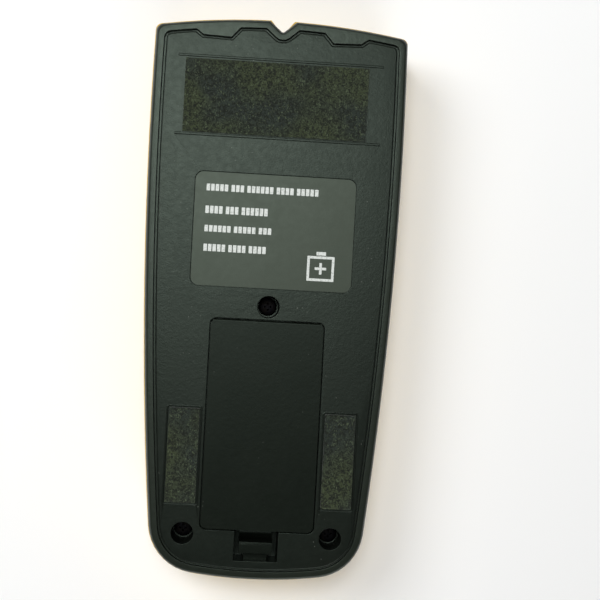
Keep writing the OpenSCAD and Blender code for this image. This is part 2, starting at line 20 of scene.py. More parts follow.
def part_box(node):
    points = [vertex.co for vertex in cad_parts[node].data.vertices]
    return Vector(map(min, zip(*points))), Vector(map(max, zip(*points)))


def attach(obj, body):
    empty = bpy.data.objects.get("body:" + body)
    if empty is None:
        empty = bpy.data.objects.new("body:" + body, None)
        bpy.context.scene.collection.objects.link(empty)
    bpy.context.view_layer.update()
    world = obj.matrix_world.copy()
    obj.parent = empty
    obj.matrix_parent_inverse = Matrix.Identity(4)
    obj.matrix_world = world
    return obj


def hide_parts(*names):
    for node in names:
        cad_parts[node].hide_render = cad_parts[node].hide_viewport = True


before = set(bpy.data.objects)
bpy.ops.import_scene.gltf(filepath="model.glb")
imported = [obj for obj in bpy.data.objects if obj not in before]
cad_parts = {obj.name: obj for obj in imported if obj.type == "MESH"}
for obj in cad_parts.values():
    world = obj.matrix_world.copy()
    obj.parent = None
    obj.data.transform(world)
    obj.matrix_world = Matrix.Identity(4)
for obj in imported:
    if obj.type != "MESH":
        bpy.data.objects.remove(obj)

log = logging.getLogger("stud_finder")

MM = 0.001
WELD = 1e-6  # points nearer than this are one point
FLAT = math.radians(0.3)  # faces that turn by less than this are one face
SQUARE_ON = 0.9  # how well a normal follows the direction that its face looks in
FLAT_WEIGHT = 80  # how much a large face counts in the shading of its corners
Colour = tuple[float, float, float]
Point = tuple[float, float, float]
Object = bpy.types.Object
Socket = bpy.types.NodeSocket
Test = Callable[[Vector, Vector], bool]


class Body(Enum):
    """Bodies of the frame that pieces ride on."""

    CASE = "case"
    DOOR = "door"
    LATCH = "latch"
    STUD_KEY = "stud_key"
    METAL_KEY = "metal_key"
    WIRE_KEY = "wire_key"


class Axis(Enum):
    """Directions that a turned piece can point in."""

    UP = "up"
    DOWN = "down"
    TO_NOTCH = "to_notch"


TURNS = {
    Axis.UP: Matrix.Identity(4),
    Axis.DOWN: Matrix.Rotation(math.pi, 4, "X"),
    Axis.TO_NOTCH: Matrix.Rotation(-math.pi / 2, 4, "X"),
}


# ---------- bench tools: making and shaping meshes ----------


def deselect() -> None:
    """Leave nothing selected."""
    bpy.ops.object.select_all(action="DESELECT")


def take(piece: Object) -> None:
    """Make one piece the selected and active object.

    Args:
        piece: The object to work on.
    """
    deselect()
    piece.select_set(True)
    bpy.context.view_layer.objects.active = piece


@contextmanager
def editing(piece: Object, mode: str = "FACE") -> Iterator[None]:
    """Open a piece in edit mode with nothing selected, and close it afterwards.

    Args:
        piece: The object to edit.
        mode: VERT, EDGE or FACE.
    """
    take(piece)
    bpy.ops.object.mode_set(mode="EDIT")
    bpy.ops.mesh.select_mode(type=mode)
    bpy.ops.mesh.select_all(action="DESELECT")
    yield
    bpy.ops.object.mode_set(mode="OBJECT")


def pick_faces(piece: Object, test: Test) -> None:
    """Select the faces that pass a test, in edit mode.

    Args:
        piece: The object in edit mode.
        test: Takes a face's centre and normal.
    """
    bpy.ops.mesh.select_all(action="DESELECT")
    cage = bmesh.from_edit_mesh(piece.data)
    for face in cage.faces:
        face.select_set(test(face.calc_center_median(), face.normal))
    cage.select_flush_mode()
    bmesh.update_edit_mesh(piece.data)


def facing(x: float = 0, y: float = 0, z: float = 0, both: bool = False) -> Test:
    """A test for faces that look along an axis.

    Args:
        x: 1 or -1 to look along X.
        y: 1 or -1 to look along Y.
        z: 1 or -1 to look along Z.
        both: Pass the faces that look the other way too.

    Returns:
        The test, which takes a face's centre and normal.
    """
    way = Vector((x, y, z))
    if both:
        return lambda centre, normal: abs(normal.dot(way)) > SQUARE_ON
    return lambda centre, normal: normal.dot(way) > SQUARE_ON


def upright(start: Vector, end: Vector) -> bool:
    """Whether an edge between two ends stands upright."""
    return (start - end).xy.length < WELD


def pick_edges(piece: Object, test: Test) -> None:
    """Select the edges that pass a test, in edit mode.

    Args:
        piece: The object in edit mode.
        test: Takes an edge's two ends.
    """
    bpy.ops.mesh.select_all(action="DESELECT")
    cage = bmesh.from_edit_mesh(piece.data)
    for edge in cage.edges:
        edge.select_set(test(edge.verts[0].co, edge.verts[1].co))
    bmesh.update_edit_mesh(piece.data)


def extend(move: Point) -> None:
    """Extrude what is selected in edit mode, along a move."""
    bpy.ops.mesh.extrude_region_move(TRANSFORM_OT_translate={"value": move})


def face_outwards() -> None:
    """Turn all faces of the piece in edit mode outwards."""
    bpy.ops.mesh.select_all(action="SELECT")
    bpy.ops.mesh.normals_make_consistent(inside=False)


def stand(name: str, data: bpy.types.ID) -> Object:
    """Put new data in the scene as an object.

    Args:
        name: The object's name.
        data: A mesh, a light or a camera.

    Returns:
        The object.
    """
    made = bpy.data.objects.new(name, data)
    bpy.context.scene.collection.objects.link(made)
    return made


def centred(low: Vector, high: Vector, z: float) -> Point:
    """The middle of a box in X and Y, at a height."""
    return ((low.x + high.x) / 2, (low.y + high.y) / 2, z)


def apply_modifier(piece: Object, kind: str, **settings: object) -> None:
    """Put a modifier on a piece and apply it.

    Args:
        piece: The object to change.
        kind: The modifier's type.
        **settings: The modifier's properties.
    """
    take(piece)
    modifier = piece.modifiers.new(kind.lower(), kind)
    for name, value in settings.items():
        setattr(modifier, name, value)
    bpy.ops.object.modifier_apply(modifier=modifier.name)


def soften(piece: Object, width: float, segments: int = 2, angle: float = 40) -> None:
    """Round a piece's sharp edges and shade it smoothly between them.

    Args:
        piece: The object to change.
        width: How far the rounding reaches on each side of an edge.
        segments: How many faces the rounding has.
        angle: Edges sharper than this, in degrees, are rounded.
    """
    apply_modifier(
        piece, "BEVEL", width=width, segments=segments, limit_method="ANGLE",
        angle_limit=math.radians(angle), use_clamp_overlap=False, miter_outer="MITER_ARC",
        loop_slide=False,
    )
    shade(piece)


def shade(piece: Object, angle: float = 35, keep_flat: bool = True) -> None:
    """Shade a piece smoothly.

    Args:
        piece: The object to change.
        angle: Edges sharper than this, in degrees, stay sharp.
        keep_flat: Keep large flat faces flat up to their edges.
    """
    take(piece)
    bpy.ops.object.shade_smooth_by_angle(angle=math.radians(angle))
    if keep_flat:
        apply_modifier(piece, "WEIGHTED_NORMAL", keep_sharp=True, weight=FLAT_WEIGHT)


def moulded_from(node: str, name: str, whole: bool = True) -> Object:
    """A merged copy of a CAD node's mesh.

    Args:
        node: The CAD node.
        name: The new piece's name.
        whole: Merge each flat face into a few convex ones. If not, pair its triangles.

    Returns:
        The copy, as an object of its own.
    """
    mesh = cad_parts[node].data.copy()
    mesh.name = name
    mesh.materials.clear()
    piece = stand(name, mesh)
    take(piece)
    if mesh.has_custom_normals:
        bpy.ops.mesh.customdata_custom_splitnormals_clear()
    with editing(piece):
        bpy.ops.mesh.select_all(action="SELECT")
        bpy.ops.mesh.remove_doubles(threshold=WELD)
        if whole:
            bpy.ops.mesh.dissolve_limited(angle_limit=FLAT)
            bpy.ops.mesh.vert_connect_concave()
        else:
            bpy.ops.mesh.tris_convert_to_quads()
    return piece


def slab(name: str, low: Point, high: Point, corner: float = 0.0, steps: int = 5) -> Object:
    """A flat plate with round upright corners.

    Args:
        name: The piece's name.
        low: Its lowest corner.
        high: Its highest corner.
        corner: Radius of the upright corners.
        steps: Faces in each corner.

    Returns:
        The plate, with its place in its mesh.
    """
    deselect()
    bpy.ops.mesh.primitive_cube_add(size=1)
    piece = bpy.context.object
    piece.name = piece.data.name = name
    size = Vector(high) - Vector(low)
    centre = (Vector(high) + Vector(low)) / 2
    piece.data.transform(Matrix.Translation(centre) @ Matrix.Diagonal((*size, 1)))
    if corner:
        with editing(piece, "EDGE"):
            pick_edges(piece, upright)
            bpy.ops.mesh.bevel(offset=corner, segments=steps, affect="EDGES")
    return piece


def turned(name: str, profile: list[tuple[float, float]], at: Point,
           axis: Axis = Axis.UP, steps: int = 48) -> Object:
    """A round piece, spun from a profile.

    Args:
        name: The piece's name.
        profile: Pairs of radius and height along the axis.
        at: Where the axis starts.
        axis: Which way the heights run.
        steps: Faces round the piece.

    Returns:
        The piece, with its place in its mesh.
    """
    deselect()
    bpy.ops.mesh.primitive_plane_add(size=MM)
    piece = bpy.context.object
    piece.name = piece.data.name = name
    with editing(piece, "VERT"):
        bpy.ops.mesh.select_all(action="SELECT")
        bpy.ops.mesh.merge(type="CENTER")
        radius, height = profile[0]
        bpy.ops.transform.translate(value=(radius, 0, height))
        for near, far in zip(profile, profile[1:]):
            step = (far[0] - near[0], 0, far[1] - near[1])
            bpy.ops.mesh.extrude_vertices_move(TRANSFORM_OT_translate={"value": step})
        bpy.ops.mesh.select_all(action="SELECT")
        bpy.ops.mesh.spin(steps=steps, angle=math.tau, center=(0, 0, 0), axis=(0, 0, 1))
        bpy.ops.mesh.select_all(action="SELECT")
        bpy.ops.mesh.remove_doubles(threshold=WELD / 10)
        face_outwards()
    piece.data.transform(Matrix.Translation(at) @ TURNS[axis])
    return piece


def cut(piece: Object, tool: Object) -> None:
    """Cut a tool's shape out of a piece, and take the tool away.

    Args:
        piece: The object to cut.
        tool: The closed shape to remove.
    """
    apply_modifier(piece, "BOOLEAN", operation="DIFFERENCE", object=tool, solver="EXACT")
    bpy.data.objects.remove(tool)


def joined(name: str, pieces: list[Object]) -> Object:
    """Several meshes as one piece.

    Args:
        name: The joined piece's name.
        pieces: What is joined.

    Returns:
        The joined piece.
    """
    deselect()
    for piece in pieces:
        piece.select_set(True)
    bpy.context.view_layer.objects.active = pieces[0]
    if len(pieces) > 1:
        bpy.ops.object.join()
    pieces[0].name = pieces[0].data.name = name
    return pieces[0]


def copied(piece: Object, name: str, move: Matrix) -> Object:
    """A copy of a piece with its own mesh, moved to another place.

    Args:
        piece: What is copied.
        name: The copy's name.
        move: The matrix that moves it.

    Returns:
        The copy.
    """
    mesh = piece.data.copy()
    mesh.name = name
    mesh.transform(move)
    return stand(name, mesh)


def settle(piece: Object, body: Body, slot: str, finish: "Finish", *nodes: str) -> Object:
    """Dress a finished piece and hang it on its body.

    Args:
        piece: The finished mesh.
        body: The body that it rides on.
        slot: The record's material slot. Not used.
        finish: What it is dressed in.
        *nodes: CAD nodes that it stands for.

    Returns:
        The same piece.
    """
    piece.data.materials.clear()
    piece.data.materials.append(finish.material())
    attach(piece, body.value)
    if nodes:
        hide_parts(*nodes)
    log.info("%s: %d faces on %s", piece.name, len(piece.data.polygons), body.value)
    return piece


def remoulded(node: str, name: str, edge: float, slot: str, finish: "Finish",
              body: Body = Body.CASE, segments: int = 2) -> Object:
    """A CAD node as a finished piece with rounded edges.

    Args:
        node: The CAD node.
        name: The piece's name.
        edge: How far the rounding reaches on each side of an edge.
        slot: The record's material slot.
        finish: What it is dressed in.
        body: The body that it rides on.
        segments: How many faces the rounding has.

    Returns:
        The piece.
    """
    piece = moulded_from(node, name)
    soften(piece, edge, segments)
    return settle(piece, body, slot, finish, node)


def assembled(name: str, parts: list[Object], slot: str, finish: "Finish", *nodes: str,
              edge: float = 0.0, segments: int = 2) -> Object:
    """Several meshes as one finished piece on the case.

    Args:
        name: The piece's name.
        parts: What it is joined from.
        slot: The record's material slot.
        finish: What it is dressed in.
        *nodes: CAD nodes that it stands for.
        edge: How far its edges are rounded, or 0 to shade it as it is.
        segments: How many faces the rounding has.

    Returns:
        The piece.
    """
    piece = joined(name, parts)
    if edge:
        soften(piece, edge, segments)
    else:
        shade(piece)
    return settle(piece, Body.CASE, slot, finish, *nodes)


# ---------- finishes ----------


class Graph:
    """A material's node tree, built a node at a time."""

    def __init__(self, name: str) -> None:
        """Start a material with one main shader.

        Args:
            name: The material's name.
        """
        self.sheet = bpy.data.materials.new(name)
        self.sheet.use_nodes = True
        self.tree = self.sheet.node_tree
        self.tree.nodes.clear()
        self.shader = self.node("ShaderNodeBsdfPrincipled")
        output = self.node("ShaderNodeOutputMaterial")
        self.join(self.shader.outputs["BSDF"], output.inputs["Surface"])
        self.place = self.node("ShaderNodeTexCoord").outputs["Object"]

    def node(self, kind: str, **settings: object) -> bpy.types.Node:
        """A new node with its properties set.

        Args:
            kind: The node's type.
            **settings: Its properties.

        Returns:
            The node.
        """
        made = self.tree.nodes.new(kind)
        for name, value in settings.items():
            setattr(made, name, value)
        return made

    def join(self, start: Socket, end: Socket) -> None:
        """Link one socket to another."""
        self.tree.links.new(start, end)

    def put(self, socket: Socket, value: object) -> None:
        """Link a socket to another one, or set its value.

        Args:
            socket: The input.
            value: A socket, a number or a colour.
        """
        if isinstance(value, bpy.types.NodeSocket):
            self.join(value, socket)
        elif isinstance(value, tuple):
            socket.default_value = (*value, 1.0)
        else:
            socket.default_value = value

    def noise(self, grain: float, detail: float = 2.0, stretch: Point = (1, 1, 1),
              warp: float = 0.0) -> Socket:
        """Cloudy noise.

        Args:
            grain: Size of its features, in metres.
            detail: How many finer layers it has.
            stretch: How much finer it is along each axis.
            warp: How far it is swirled.

        Returns:
            A value from 0 to 1, mostly near one half.
        """
        made = self.node("ShaderNodeTexNoise")
        self.join(self.stretched(stretch), made.inputs["Vector"])
        made.inputs["Scale"].default_value = 1 / grain
        made.inputs["Detail"].default_value = detail
        made.inputs["Distortion"].default_value = warp
        return made.outputs["Fac"]

    def cells(self, grain: float) -> Socket:
        """Distance to the nearest of many scattered points.

        Args:
            grain: Distance between the points, in metres.

        Returns:
            The distance, from 0 to about 1.
        """
        made = self.node("ShaderNodeTexVoronoi")
        self.join(self.place, made.inputs["Vector"])
        made.inputs["Scale"].default_value = 1 / grain
        return made.outputs["Distance"]

    def stretched(self, stretch: Point) -> Socket:
        """Object coordinates, scaled along each axis.

        Args:
            stretch: The scale along each axis.

        Returns:
            The coordinates.
        """
        if stretch == (1, 1, 1):
            return self.place
        made = self.node("ShaderNodeMapping")
        self.join(self.place, made.inputs["Vector"])
        made.inputs["Scale"].default_value = stretch
        return made.outputs["Vector"]

    def span(self, value: Socket, low: float, high: float, to_low: float = 0.0,
             to_high: float = 1.0) -> Socket:
        """Move a value from one span to another, clamped at its ends.

        Args:
            value: What is moved.
            low: Where its span starts.
            high: Where its span ends.
            to_low: What the start becomes.
            to_high: What the end becomes.

        Returns:
            The moved value.
        """
        made = self.node("ShaderNodeMapRange", interpolation_type="SMOOTHSTEP")
        self.join(value, made.inputs["Value"])
        made.inputs["From Min"].default_value = low
        made.inputs["From Max"].default_value = high
        made.inputs["To Min"].default_value = to_low
        made.inputs["To Max"].default_value = to_high
        return made.outputs["Result"]

    def maths(self, operation: str, first: object, second: object = 0.0) -> Socket:
        """One step of arithmetic on sockets or numbers.

        Args:
            operation: What is done.
            first: A socket or a number.
            second: A socket or a number.

        Returns:
            The outcome.
        """
        made = self.node("ShaderNodeMath", operation=operation)
        self.put(made.inputs[0], first)
        self.put(made.inputs[1], second)
        return made.outputs[0]

    def blend(self, share: object, first: object, second: object) -> Socket:
        """Mix two colours.

        Args:
            share: How much of the second one there is.
            first: A colour or a socket.
            second: A colour or a socket.

        Returns:
            The mixed colour.
        """
        made = self.node("ShaderNodeMix", data_type="RGBA")
        self.put(made.inputs[0], share)
        self.put(made.inputs[6], first)
        self.put(made.inputs[7], second)
        return made.outputs[2]

    def along(self, axis: int) -> Socket:
        """One of the object coordinates, in metres.

        Args:
            axis: 0, 1 or 2, for X, Y or Z.

        Returns:
            The coordinate.
        """
        made = self.node("ShaderNodeSeparateXYZ")
        self.join(self.place, made.inputs[0])
        return made.outputs[axis]

    def stripes(self, axis: int, pitch: float, share: float, edge: float = 0.12) -> Socket:
        """Even stripes across one axis.

        Args:
            axis: The axis that the stripes follow one another along.
            pitch: Distance from one stripe to the next, in metres.
            share: How much of the pitch is a stripe.
            edge: How soft a stripe's edge is, as a share of the pitch.

        Returns:
            1 in a stripe and 0 between stripes.
        """
        phase = self.maths("FRACT", self.maths("MULTIPLY", self.along(axis), 1 / pitch))
        off = self.maths("ABSOLUTE", self.maths("SUBTRACT", phase, 0.5))
        return self.span(off, share / 2 - edge / 2, share / 2 + edge / 2, 1.0, 0.0)

    def crossed(self, operation: str, pitch: float, share: float) -> Socket:
        """Stripes across X and stripes across Y, put together by an operation.

        Args:
            operation: How they are put together.
            pitch: Distance between stripes, in metres.
            share: How much of the pitch is a stripe.

        Returns:
            The pattern.
        """
        return self.maths(operation, self.stripes(0, pitch, share), self.stripes(1, pitch, share))

    def relief(self, height: Socket, depth: float, below: Socket | None = None) -> Socket:
        """A bump from a height.

        Args:
            height: Height from 0 to 1.
            depth: What a height of 1 stands for, in metres.
            below: Another bump that this one lies on.

        Returns:
            The bent normal.
        """
        made = self.node("ShaderNodeBump")
        self.join(height, made.inputs["Height"])
        made.inputs["Distance"].default_value = depth
        if below is not None:
            self.join(below, made.inputs["Normal"])
        return made.outputs["Normal"]

    def dress(self, **sockets: object) -> bpy.types.Material:
        """Set the main shader's sockets, named with underscores for spaces.

        Args:
            **sockets: A socket, a number or a colour for each.

        Returns:
            The finished material.
        """
        for name, value in sockets.items():
            self.put(self.shader.inputs[name.replace("_", " ")], value)
        return self.sheet


MADE: dict["Finish", bpy.types.Material] = {}
GREEN_SHEEN: Colour = (0.80, 1.0, 0.84)


@dataclass(frozen=True)
class Finish:
    """What a piece is dressed in. Each finish makes its material once."""

    name: str

    def material(self) -> bpy.types.Material:
        """The finish's material, made when it is first asked for.

        Returns:
            The material that all its pieces share.
        """
        if self not in MADE:
            MADE[self] = self.build(Graph(self.name))
        return MADE[self]

    def build(self, graph: Graph) -> bpy.types.Material:
        """Build the material's nodes.

        Args:
            graph: The material's empty node tree.

        Returns:
            The finished material.
        """
        raise NotImplementedError


@dataclass(frozen=True)
class MouldedPlastic(Finish):
    """Injection-moulded plastic with a spark-eroded grain, flow mottling and dust."""

    colour: Colour = (0.012, 0.014, 0.012)
    mottle: Colour = (0.016, 0.018, 0.015)
    roughness: float = 0.5
    specular: float = 0.2
    grain: float = 0.3 * MM
    depth: float = 0.012 * MM
    tint: Colour = (1.0, 1.0, 1.0)
    dust: float = 0.0
    dust_colour: Colour = (0.16, 0.17, 0.15)

    def build(self, graph: Graph) -> bpy.types.Material:
        """Grain in the bump, slow flow marks in the colour, and sparse dust.

        Args:
            graph: The material's empty node tree.

        Returns:
            The finished material.
        """
        flow = graph.span(graph.noise(14 * MM, 2), 0.3, 0.7, 0.0, 0.5)
        colour = graph.blend(flow, self.colour, self.mottle)
        pits = graph.noise(self.grain, 3)
        colour = graph.blend(graph.span(pits, 0.4, 0.75, 0.0, 0.35), colour, self.mottle)
        if self.dust:
            near = graph.cells(1.9 * MM)
            patch = graph.span(graph.noise(13 * MM, 2), 0.47, 0.66)
            speck = graph.maths("MULTIPLY", graph.span(near, 0.05, 0.09, 1.0, 0.0), patch)
            speck = graph.maths("MULTIPLY", speck, self.dust)
            colour = graph.blend(speck, colour, self.dust_colour)
        spread = graph.span(graph.noise(1.6 * MM, 4), 0.3, 0.7, -0.02, 0.02)
        coarse = graph.relief(graph.noise(1.1 * MM, 2), self.depth * 1.5)
        return graph.dress(
            Base_Color=colour,
            Roughness=graph.maths("ADD", spread, self.roughness),
            Specular_IOR_Level=self.specular,
            Specular_Tint=self.tint,
            Normal=graph.relief(pits, self.depth, coarse),
        )


@dataclass(frozen=True)
class Felt(Finish):
    """Pressed felt: tangled dark fibres with pale and olive ones among them."""

    dark: Colour = (0.006, 0.008, 0.005)
    olive: Colour = (0.032, 0.042, 0.019)
    slate: Colour = (0.017, 0.024, 0.019)
    pale: Colour = (0.075, 0.098, 0.055)

    def build(self, graph: Graph) -> bpy.types.Material:
        """Olive and slate patches, and dark and pale tufts.

        Args:
            graph: The material's empty node tree.

        Returns:
            The finished material.
        """
        patch = graph.span(graph.noise(17 * MM, 2), 0.40, 0.62)
        base = graph.blend(patch, self.olive, self.slate)
        tuft = graph.noise(0.95 * MM, 4, warp=1.4)
        colour = graph.blend(graph.span(tuft, 0.40, 0.60, 0.95, 0.0), base, self.dark)
        strand = graph.noise(0.62 * MM, 3, stretch=(1.0, 0.6, 1.0), warp=1.8)
        colour = graph.blend(graph.span(strand, 0.56, 0.70, 0.0, 0.8), colour, self.pale)
        lint = graph.span(graph.cells(1.3 * MM), 0.08, 0.17, 0.55, 0.0)
        colour = graph.blend(lint, colour, self.pale)
        height = graph.noise(0.33 * MM, 4, warp=1.0)
        return graph.dress(
            Base_Color=colour,
            Roughness=0.95,
            Specular_IOR_Level=0.15,
            Sheen_Weight=0.12,
            Sheen_Roughness=0.6,
            Normal=graph.relief(height, 0.12 * MM),
        )


@dataclass(frozen=True)
class Metal(Finish):
    """Plated or bare metal with fine scratches and a little tarnish."""

    colour: Colour = (0.60, 0.61, 0.62)
    tarnish: Colour = (0.38, 0.38, 0.37)
    roughness: float = 0.32
    lines: Point = (1, 1, 1)

    def build(self, graph: Graph) -> bpy.types.Material:
        """Scratches in the bump, tarnish in the colour and the roughness.

        Args:
            graph: The material's empty node tree.

        Returns:
            The finished material.
        """
        patch = graph.span(graph.noise(1.4 * MM, 4, warp=0.8), 0.42, 0.7)
        fine = graph.noise(0.16 * MM, 3, stretch=self.lines)
        return graph.dress(
            Base_Color=graph.blend(patch, self.colour, self.tarnish),
            Metallic=1.0,
            Roughness=graph.span(patch, 0, 1, self.roughness, self.roughness + 0.16),
            Normal=graph.relief(fine, 0.006 * MM),
        )


@dataclass(frozen=True)
class Print(Finish):
    """Pale screen-printed ink, thin in places."""

    colour: Colour = (0.60, 0.63, 0.60)
    thin: Colour = (0.36, 0.39, 0.36)

    def build(self, graph: Graph) -> bpy.types.Material:
        """Ink that lets some of the ground through.

        Args:
            graph: The material's empty node tree.

        Returns:
            The finished material.
        """
        worn = graph.span(graph.noise(0.5 * MM, 3), 0.46, 0.72)
        return graph.dress(
            Base_Color=graph.blend(worn, self.colour, self.thin),
            Roughness=0.55,
            Normal=graph.relief(graph.noise(0.2 * MM), 0.004 * MM),
        )


@dataclass(frozen=True)
class Rubbery(Finish):
    """Soft vinyl, silicone or foam, with a skin or open cells."""

    colour: Colour = (0.02, 0.02, 0.02)
    bloom: Colour = (0.04, 0.04, 0.04)
    roughness: float = 0.6
    pore: float = 0.4 * MM
    depth: float = 0.02 * MM

    def build(self, graph: Graph) -> bpy.types.Material:
        """Cells in the bump and a cloudy bloom in the colour.

        Args:
            graph: The material's empty node tree.

        Returns:
            The finished material.
        """
        bloom = graph.span(graph.noise(2.2 * MM, 3), 0.4, 0.7)
        return graph.dress(
            Base_Color=graph.blend(bloom, self.colour, self.bloom),
            Roughness=graph.span(bloom, 0, 1, self.roughness, self.roughness + 0.1),
            Normal=graph.relief(graph.cells(self.pore), self.depth),
        )


@dataclass(frozen=True)
class ClearPlastic(Finish):
    """Clear or tinted moulded plastic that light goes through."""

    colour: Colour = (0.92, 0.96, 0.95)
    roughness: float = 0.01
    clearness: float = 0.95

    def build(self, graph: Graph) -> bpy.types.Material:
        """Clear body with faint handling marks in its gloss.

        Args:
            graph: The material's empty node tree.

        Returns:
            The finished material.
        """
        smear = graph.noise(5 * MM, 3, warp=0.5)
        return graph.dress(
            Base_Color=self.colour,
            Transmission_Weight=self.clearness,
            IOR=1.49,
            Roughness=graph.span(smear, 0.45, 0.8, self.roughness, self.roughness + 0.03),
            Normal=graph.relief(graph.noise(9 * MM), 0.004 * MM),
        )


@dataclass(frozen=True)
class LcdGlass(Finish):
    """Grey-green display glass with fine cross lines."""

    ground: Colour = (0.20, 0.24, 0.17)
    haze: Colour = (0.25, 0.29, 0.21)
    line: Colour = (0.14, 0.17, 0.12)
    pitch: float = 2.0 * MM

    def build(self, graph: Graph) -> bpy.types.Material:
        """A faint grid of electrodes under a smooth, glossy sheet.

        Args:
            graph: The material's empty node tree.

        Returns:
            The finished material.
        """
        cloud = graph.span(graph.noise(8 * MM, 3), 0.35, 0.7)
        grid = graph.crossed("MAXIMUM", self.pitch, 0.05)
        colour = graph.blend(cloud, self.ground, self.haze)
        return graph.dress(
            Base_Color=graph.blend(graph.maths("MULTIPLY", grid, 0.5), colour, self.line),
            Roughness=graph.span(graph.noise(3 * MM, 2), 0.3, 0.7, 0.16, 0.26),
            Normal=graph.relief(graph.noise(5 * MM), 0.004 * MM),
        )


@dataclass(frozen=True)
class DotGuide(Finish):
    """Milky light guide with an even grid of printed dots."""

    body: Colour = (0.66, 0.72, 0.58)
    dot: Colour = (0.86, 0.88, 0.84)
    pitch: float = 0.9 * MM

    def build(self, graph: Graph) -> bpy.types.Material:
        """Dots where stripes across two axes cross.

        Args:
            graph: The material's empty node tree.

        Returns:
            The finished material.
        """
        dots = graph.crossed("MULTIPLY", self.pitch, 0.45)
        return graph.dress(
            Base_Color=graph.blend(dots, self.body, self.dot),
            Roughness=graph.span(graph.noise(2 * MM, 2), 0.3, 0.7, 0.28, 0.42),
            Normal=graph.relief(dots, 0.01 * MM),
        )


@dataclass(frozen=True)
class LayeredRubber(Finish):
    """Pink silicone with carbon layers, which joins the glass to the board."""

    silicone: Colour = (0.62, 0.28, 0.30)
    carbon: Colour = (0.012, 0.012, 0.014)

    def build(self, graph: Graph) -> bpy.types.Material:
        """Thin dark layers along the strip.

        Args:
            graph: The material's empty node tree.

        Returns:
            The finished material.
        """
        layers = graph.stripes(0, 0.36 * MM, 0.5)
        return graph.dress(
            Base_Color=graph.blend(layers, self.silicone, self.carbon),
            Roughness=graph.span(graph.noise(0.8 * MM, 2), 0.3, 0.7, 0.5, 0.65),
            Normal=graph.relief(layers, 0.01 * MM),
        )


@dataclass(frozen=True)
class BatteryWrap(Finish):
    """Printed metal jacket: dark body, a plain copper-coloured band and a pale line."""

    body: Colour = (0.018, 0.020, 0.026)
    band: Colour = (0.52, 0.27, 0.09)
    line: Colour = (0.60, 0.60, 0.58)
    worn: Colour = (0.35, 0.34, 0.32)
    band_y: float = -32.0 * MM
    line_w: float = 0.8 * MM

    def build(self, graph: Graph) -> bpy.types.Material:
        """Bands by distance along the battery, under a scuffed lacquer.

        Args:
            graph: The material's empty node tree.

        Returns:
            The finished material.
        """
        run = graph.along(1)
        above = graph.span(run, self.band_y, self.band_y + 0.05 * MM)
        off = graph.maths("ABSOLUTE", graph.maths("SUBTRACT", run, self.band_y))
        near = graph.span(off, self.line_w / 2, self.line_w / 2 + 0.04 * MM, 1.0, 0.0)
        scuff = graph.span(graph.noise(1.1 * MM, 4, stretch=(1, 0.35, 1), warp=0.6), 0.62, 0.78)
        colour = graph.blend(near, graph.blend(above, self.body, self.band), self.line)
        return graph.dress(
            Base_Color=graph.blend(graph.maths("MULTIPLY", scuff, 0.35), colour, self.worn),
            Metallic=0.55,
            Roughness=graph.span(scuff, 0, 1, 0.28, 0.5),
            Coat_Weight=0.3,
            Coat_Roughness=0.2,
            Normal=graph.relief(graph.noise(2.5 * MM, 2), 0.02 * MM),
        )


@dataclass(frozen=True)
class SolderMask(Finish):
    """Green lacquered circuit board with tracks, ground fill and vias."""

    base: Colour = (0.012, 0.10, 0.045)
    track: Colour = (0.03, 0.20, 0.09)
    via: Colour = (0.55, 0.52, 0.42)

    def build(self, graph: Graph) -> bpy.types.Material:
        """Tracks in two directions under a glossy lacquer.

        Args:
            graph: The material's empty node tree.

        Returns:
            The finished material.
        """
        share: list[Socket] = []
        for stretch in ((1, 0.09, 1), (0.09, 1, 1)):
            lane = graph.node("ShaderNodeTexBrick", offset=0.37, squash=0.8, squash_frequency=3)
            graph.join(graph.stretched(stretch), lane.inputs["Vector"])
            lane.inputs["Scale"].default_value = 1 / (2.2 * MM)
            lane.inputs["Mortar Size"].default_value = 0.09
            lane.inputs["Mortar Smooth"].default_value = 0.1
            share.append(lane.outputs["Fac"])
        lanes = graph.maths("MAXIMUM", share[0], share[1])
        region = graph.span(graph.noise(14 * MM, 1), 0.48, 0.52)
        tracks = graph.maths("MULTIPLY", lanes, region)
        colour = graph.blend(tracks, self.base, self.track)
        ring = graph.span(graph.cells(4.7 * MM), 0.055, 0.075, 1.0, 0.0)
        colour = graph.blend(ring, colour, self.via)
        return graph.dress(
            Base_Color=colour,
            Roughness=graph.span(graph.noise(1.5 * MM, 3), 0.3, 0.7, 0.24, 0.36),
            Coat_Weight=0.4,
            Coat_Roughness=0.15,
            Normal=graph.relief(tracks, 0.03 * MM),
        )


# plastics of the case
DARK_FRAME = MouldedPlastic("dark_frame_plastic", (0.0080, 0.0100, 0.0072), (0.0110, 0.0132, 0.0095),
                            roughness=0.37, specular=0.27, tint=GREEN_SHEEN, grain=0.5 * MM,
                            depth=0.018 * MM)
DARK_COVER = MouldedPlastic("dark_cover_plastic", (0.0042, 0.0056, 0.0042), (0.0066, 0.0082, 0.0062),
                            roughness=0.36, specular=0.21, tint=GREEN_SHEEN, dust=0.6, grain=0.5 * MM,
                            depth=0.018 * MM)
DARK_DOOR = MouldedPlastic("dark_door_plastic", (0.0030, 0.0042, 0.0028), (0.0048, 0.0062, 0.0045),
                           roughness=0.37, specular=0.14, tint=GREEN_SHEEN, dust=0.3, grain=0.4 * MM,
                           depth=0.014 * MM)
YELLOW_SHELL = MouldedPlastic("yellow_shell_plastic", (0.60, 0.385, 0.020), (0.66, 0.43, 0.028),
                              roughness=0.42, depth=0.01 * MM)
FELT = Felt("olive_black_felt")
LABEL_PLATE = MouldedPlastic("label_plate", (0.034, 0.040, 0.030), (0.040, 0.046, 0.036),
                             roughness=0.36, tint=GREEN_SHEEN, grain=0.5 * MM, depth=0.004 * MM)
PALE_INK = Print("pale_ink")
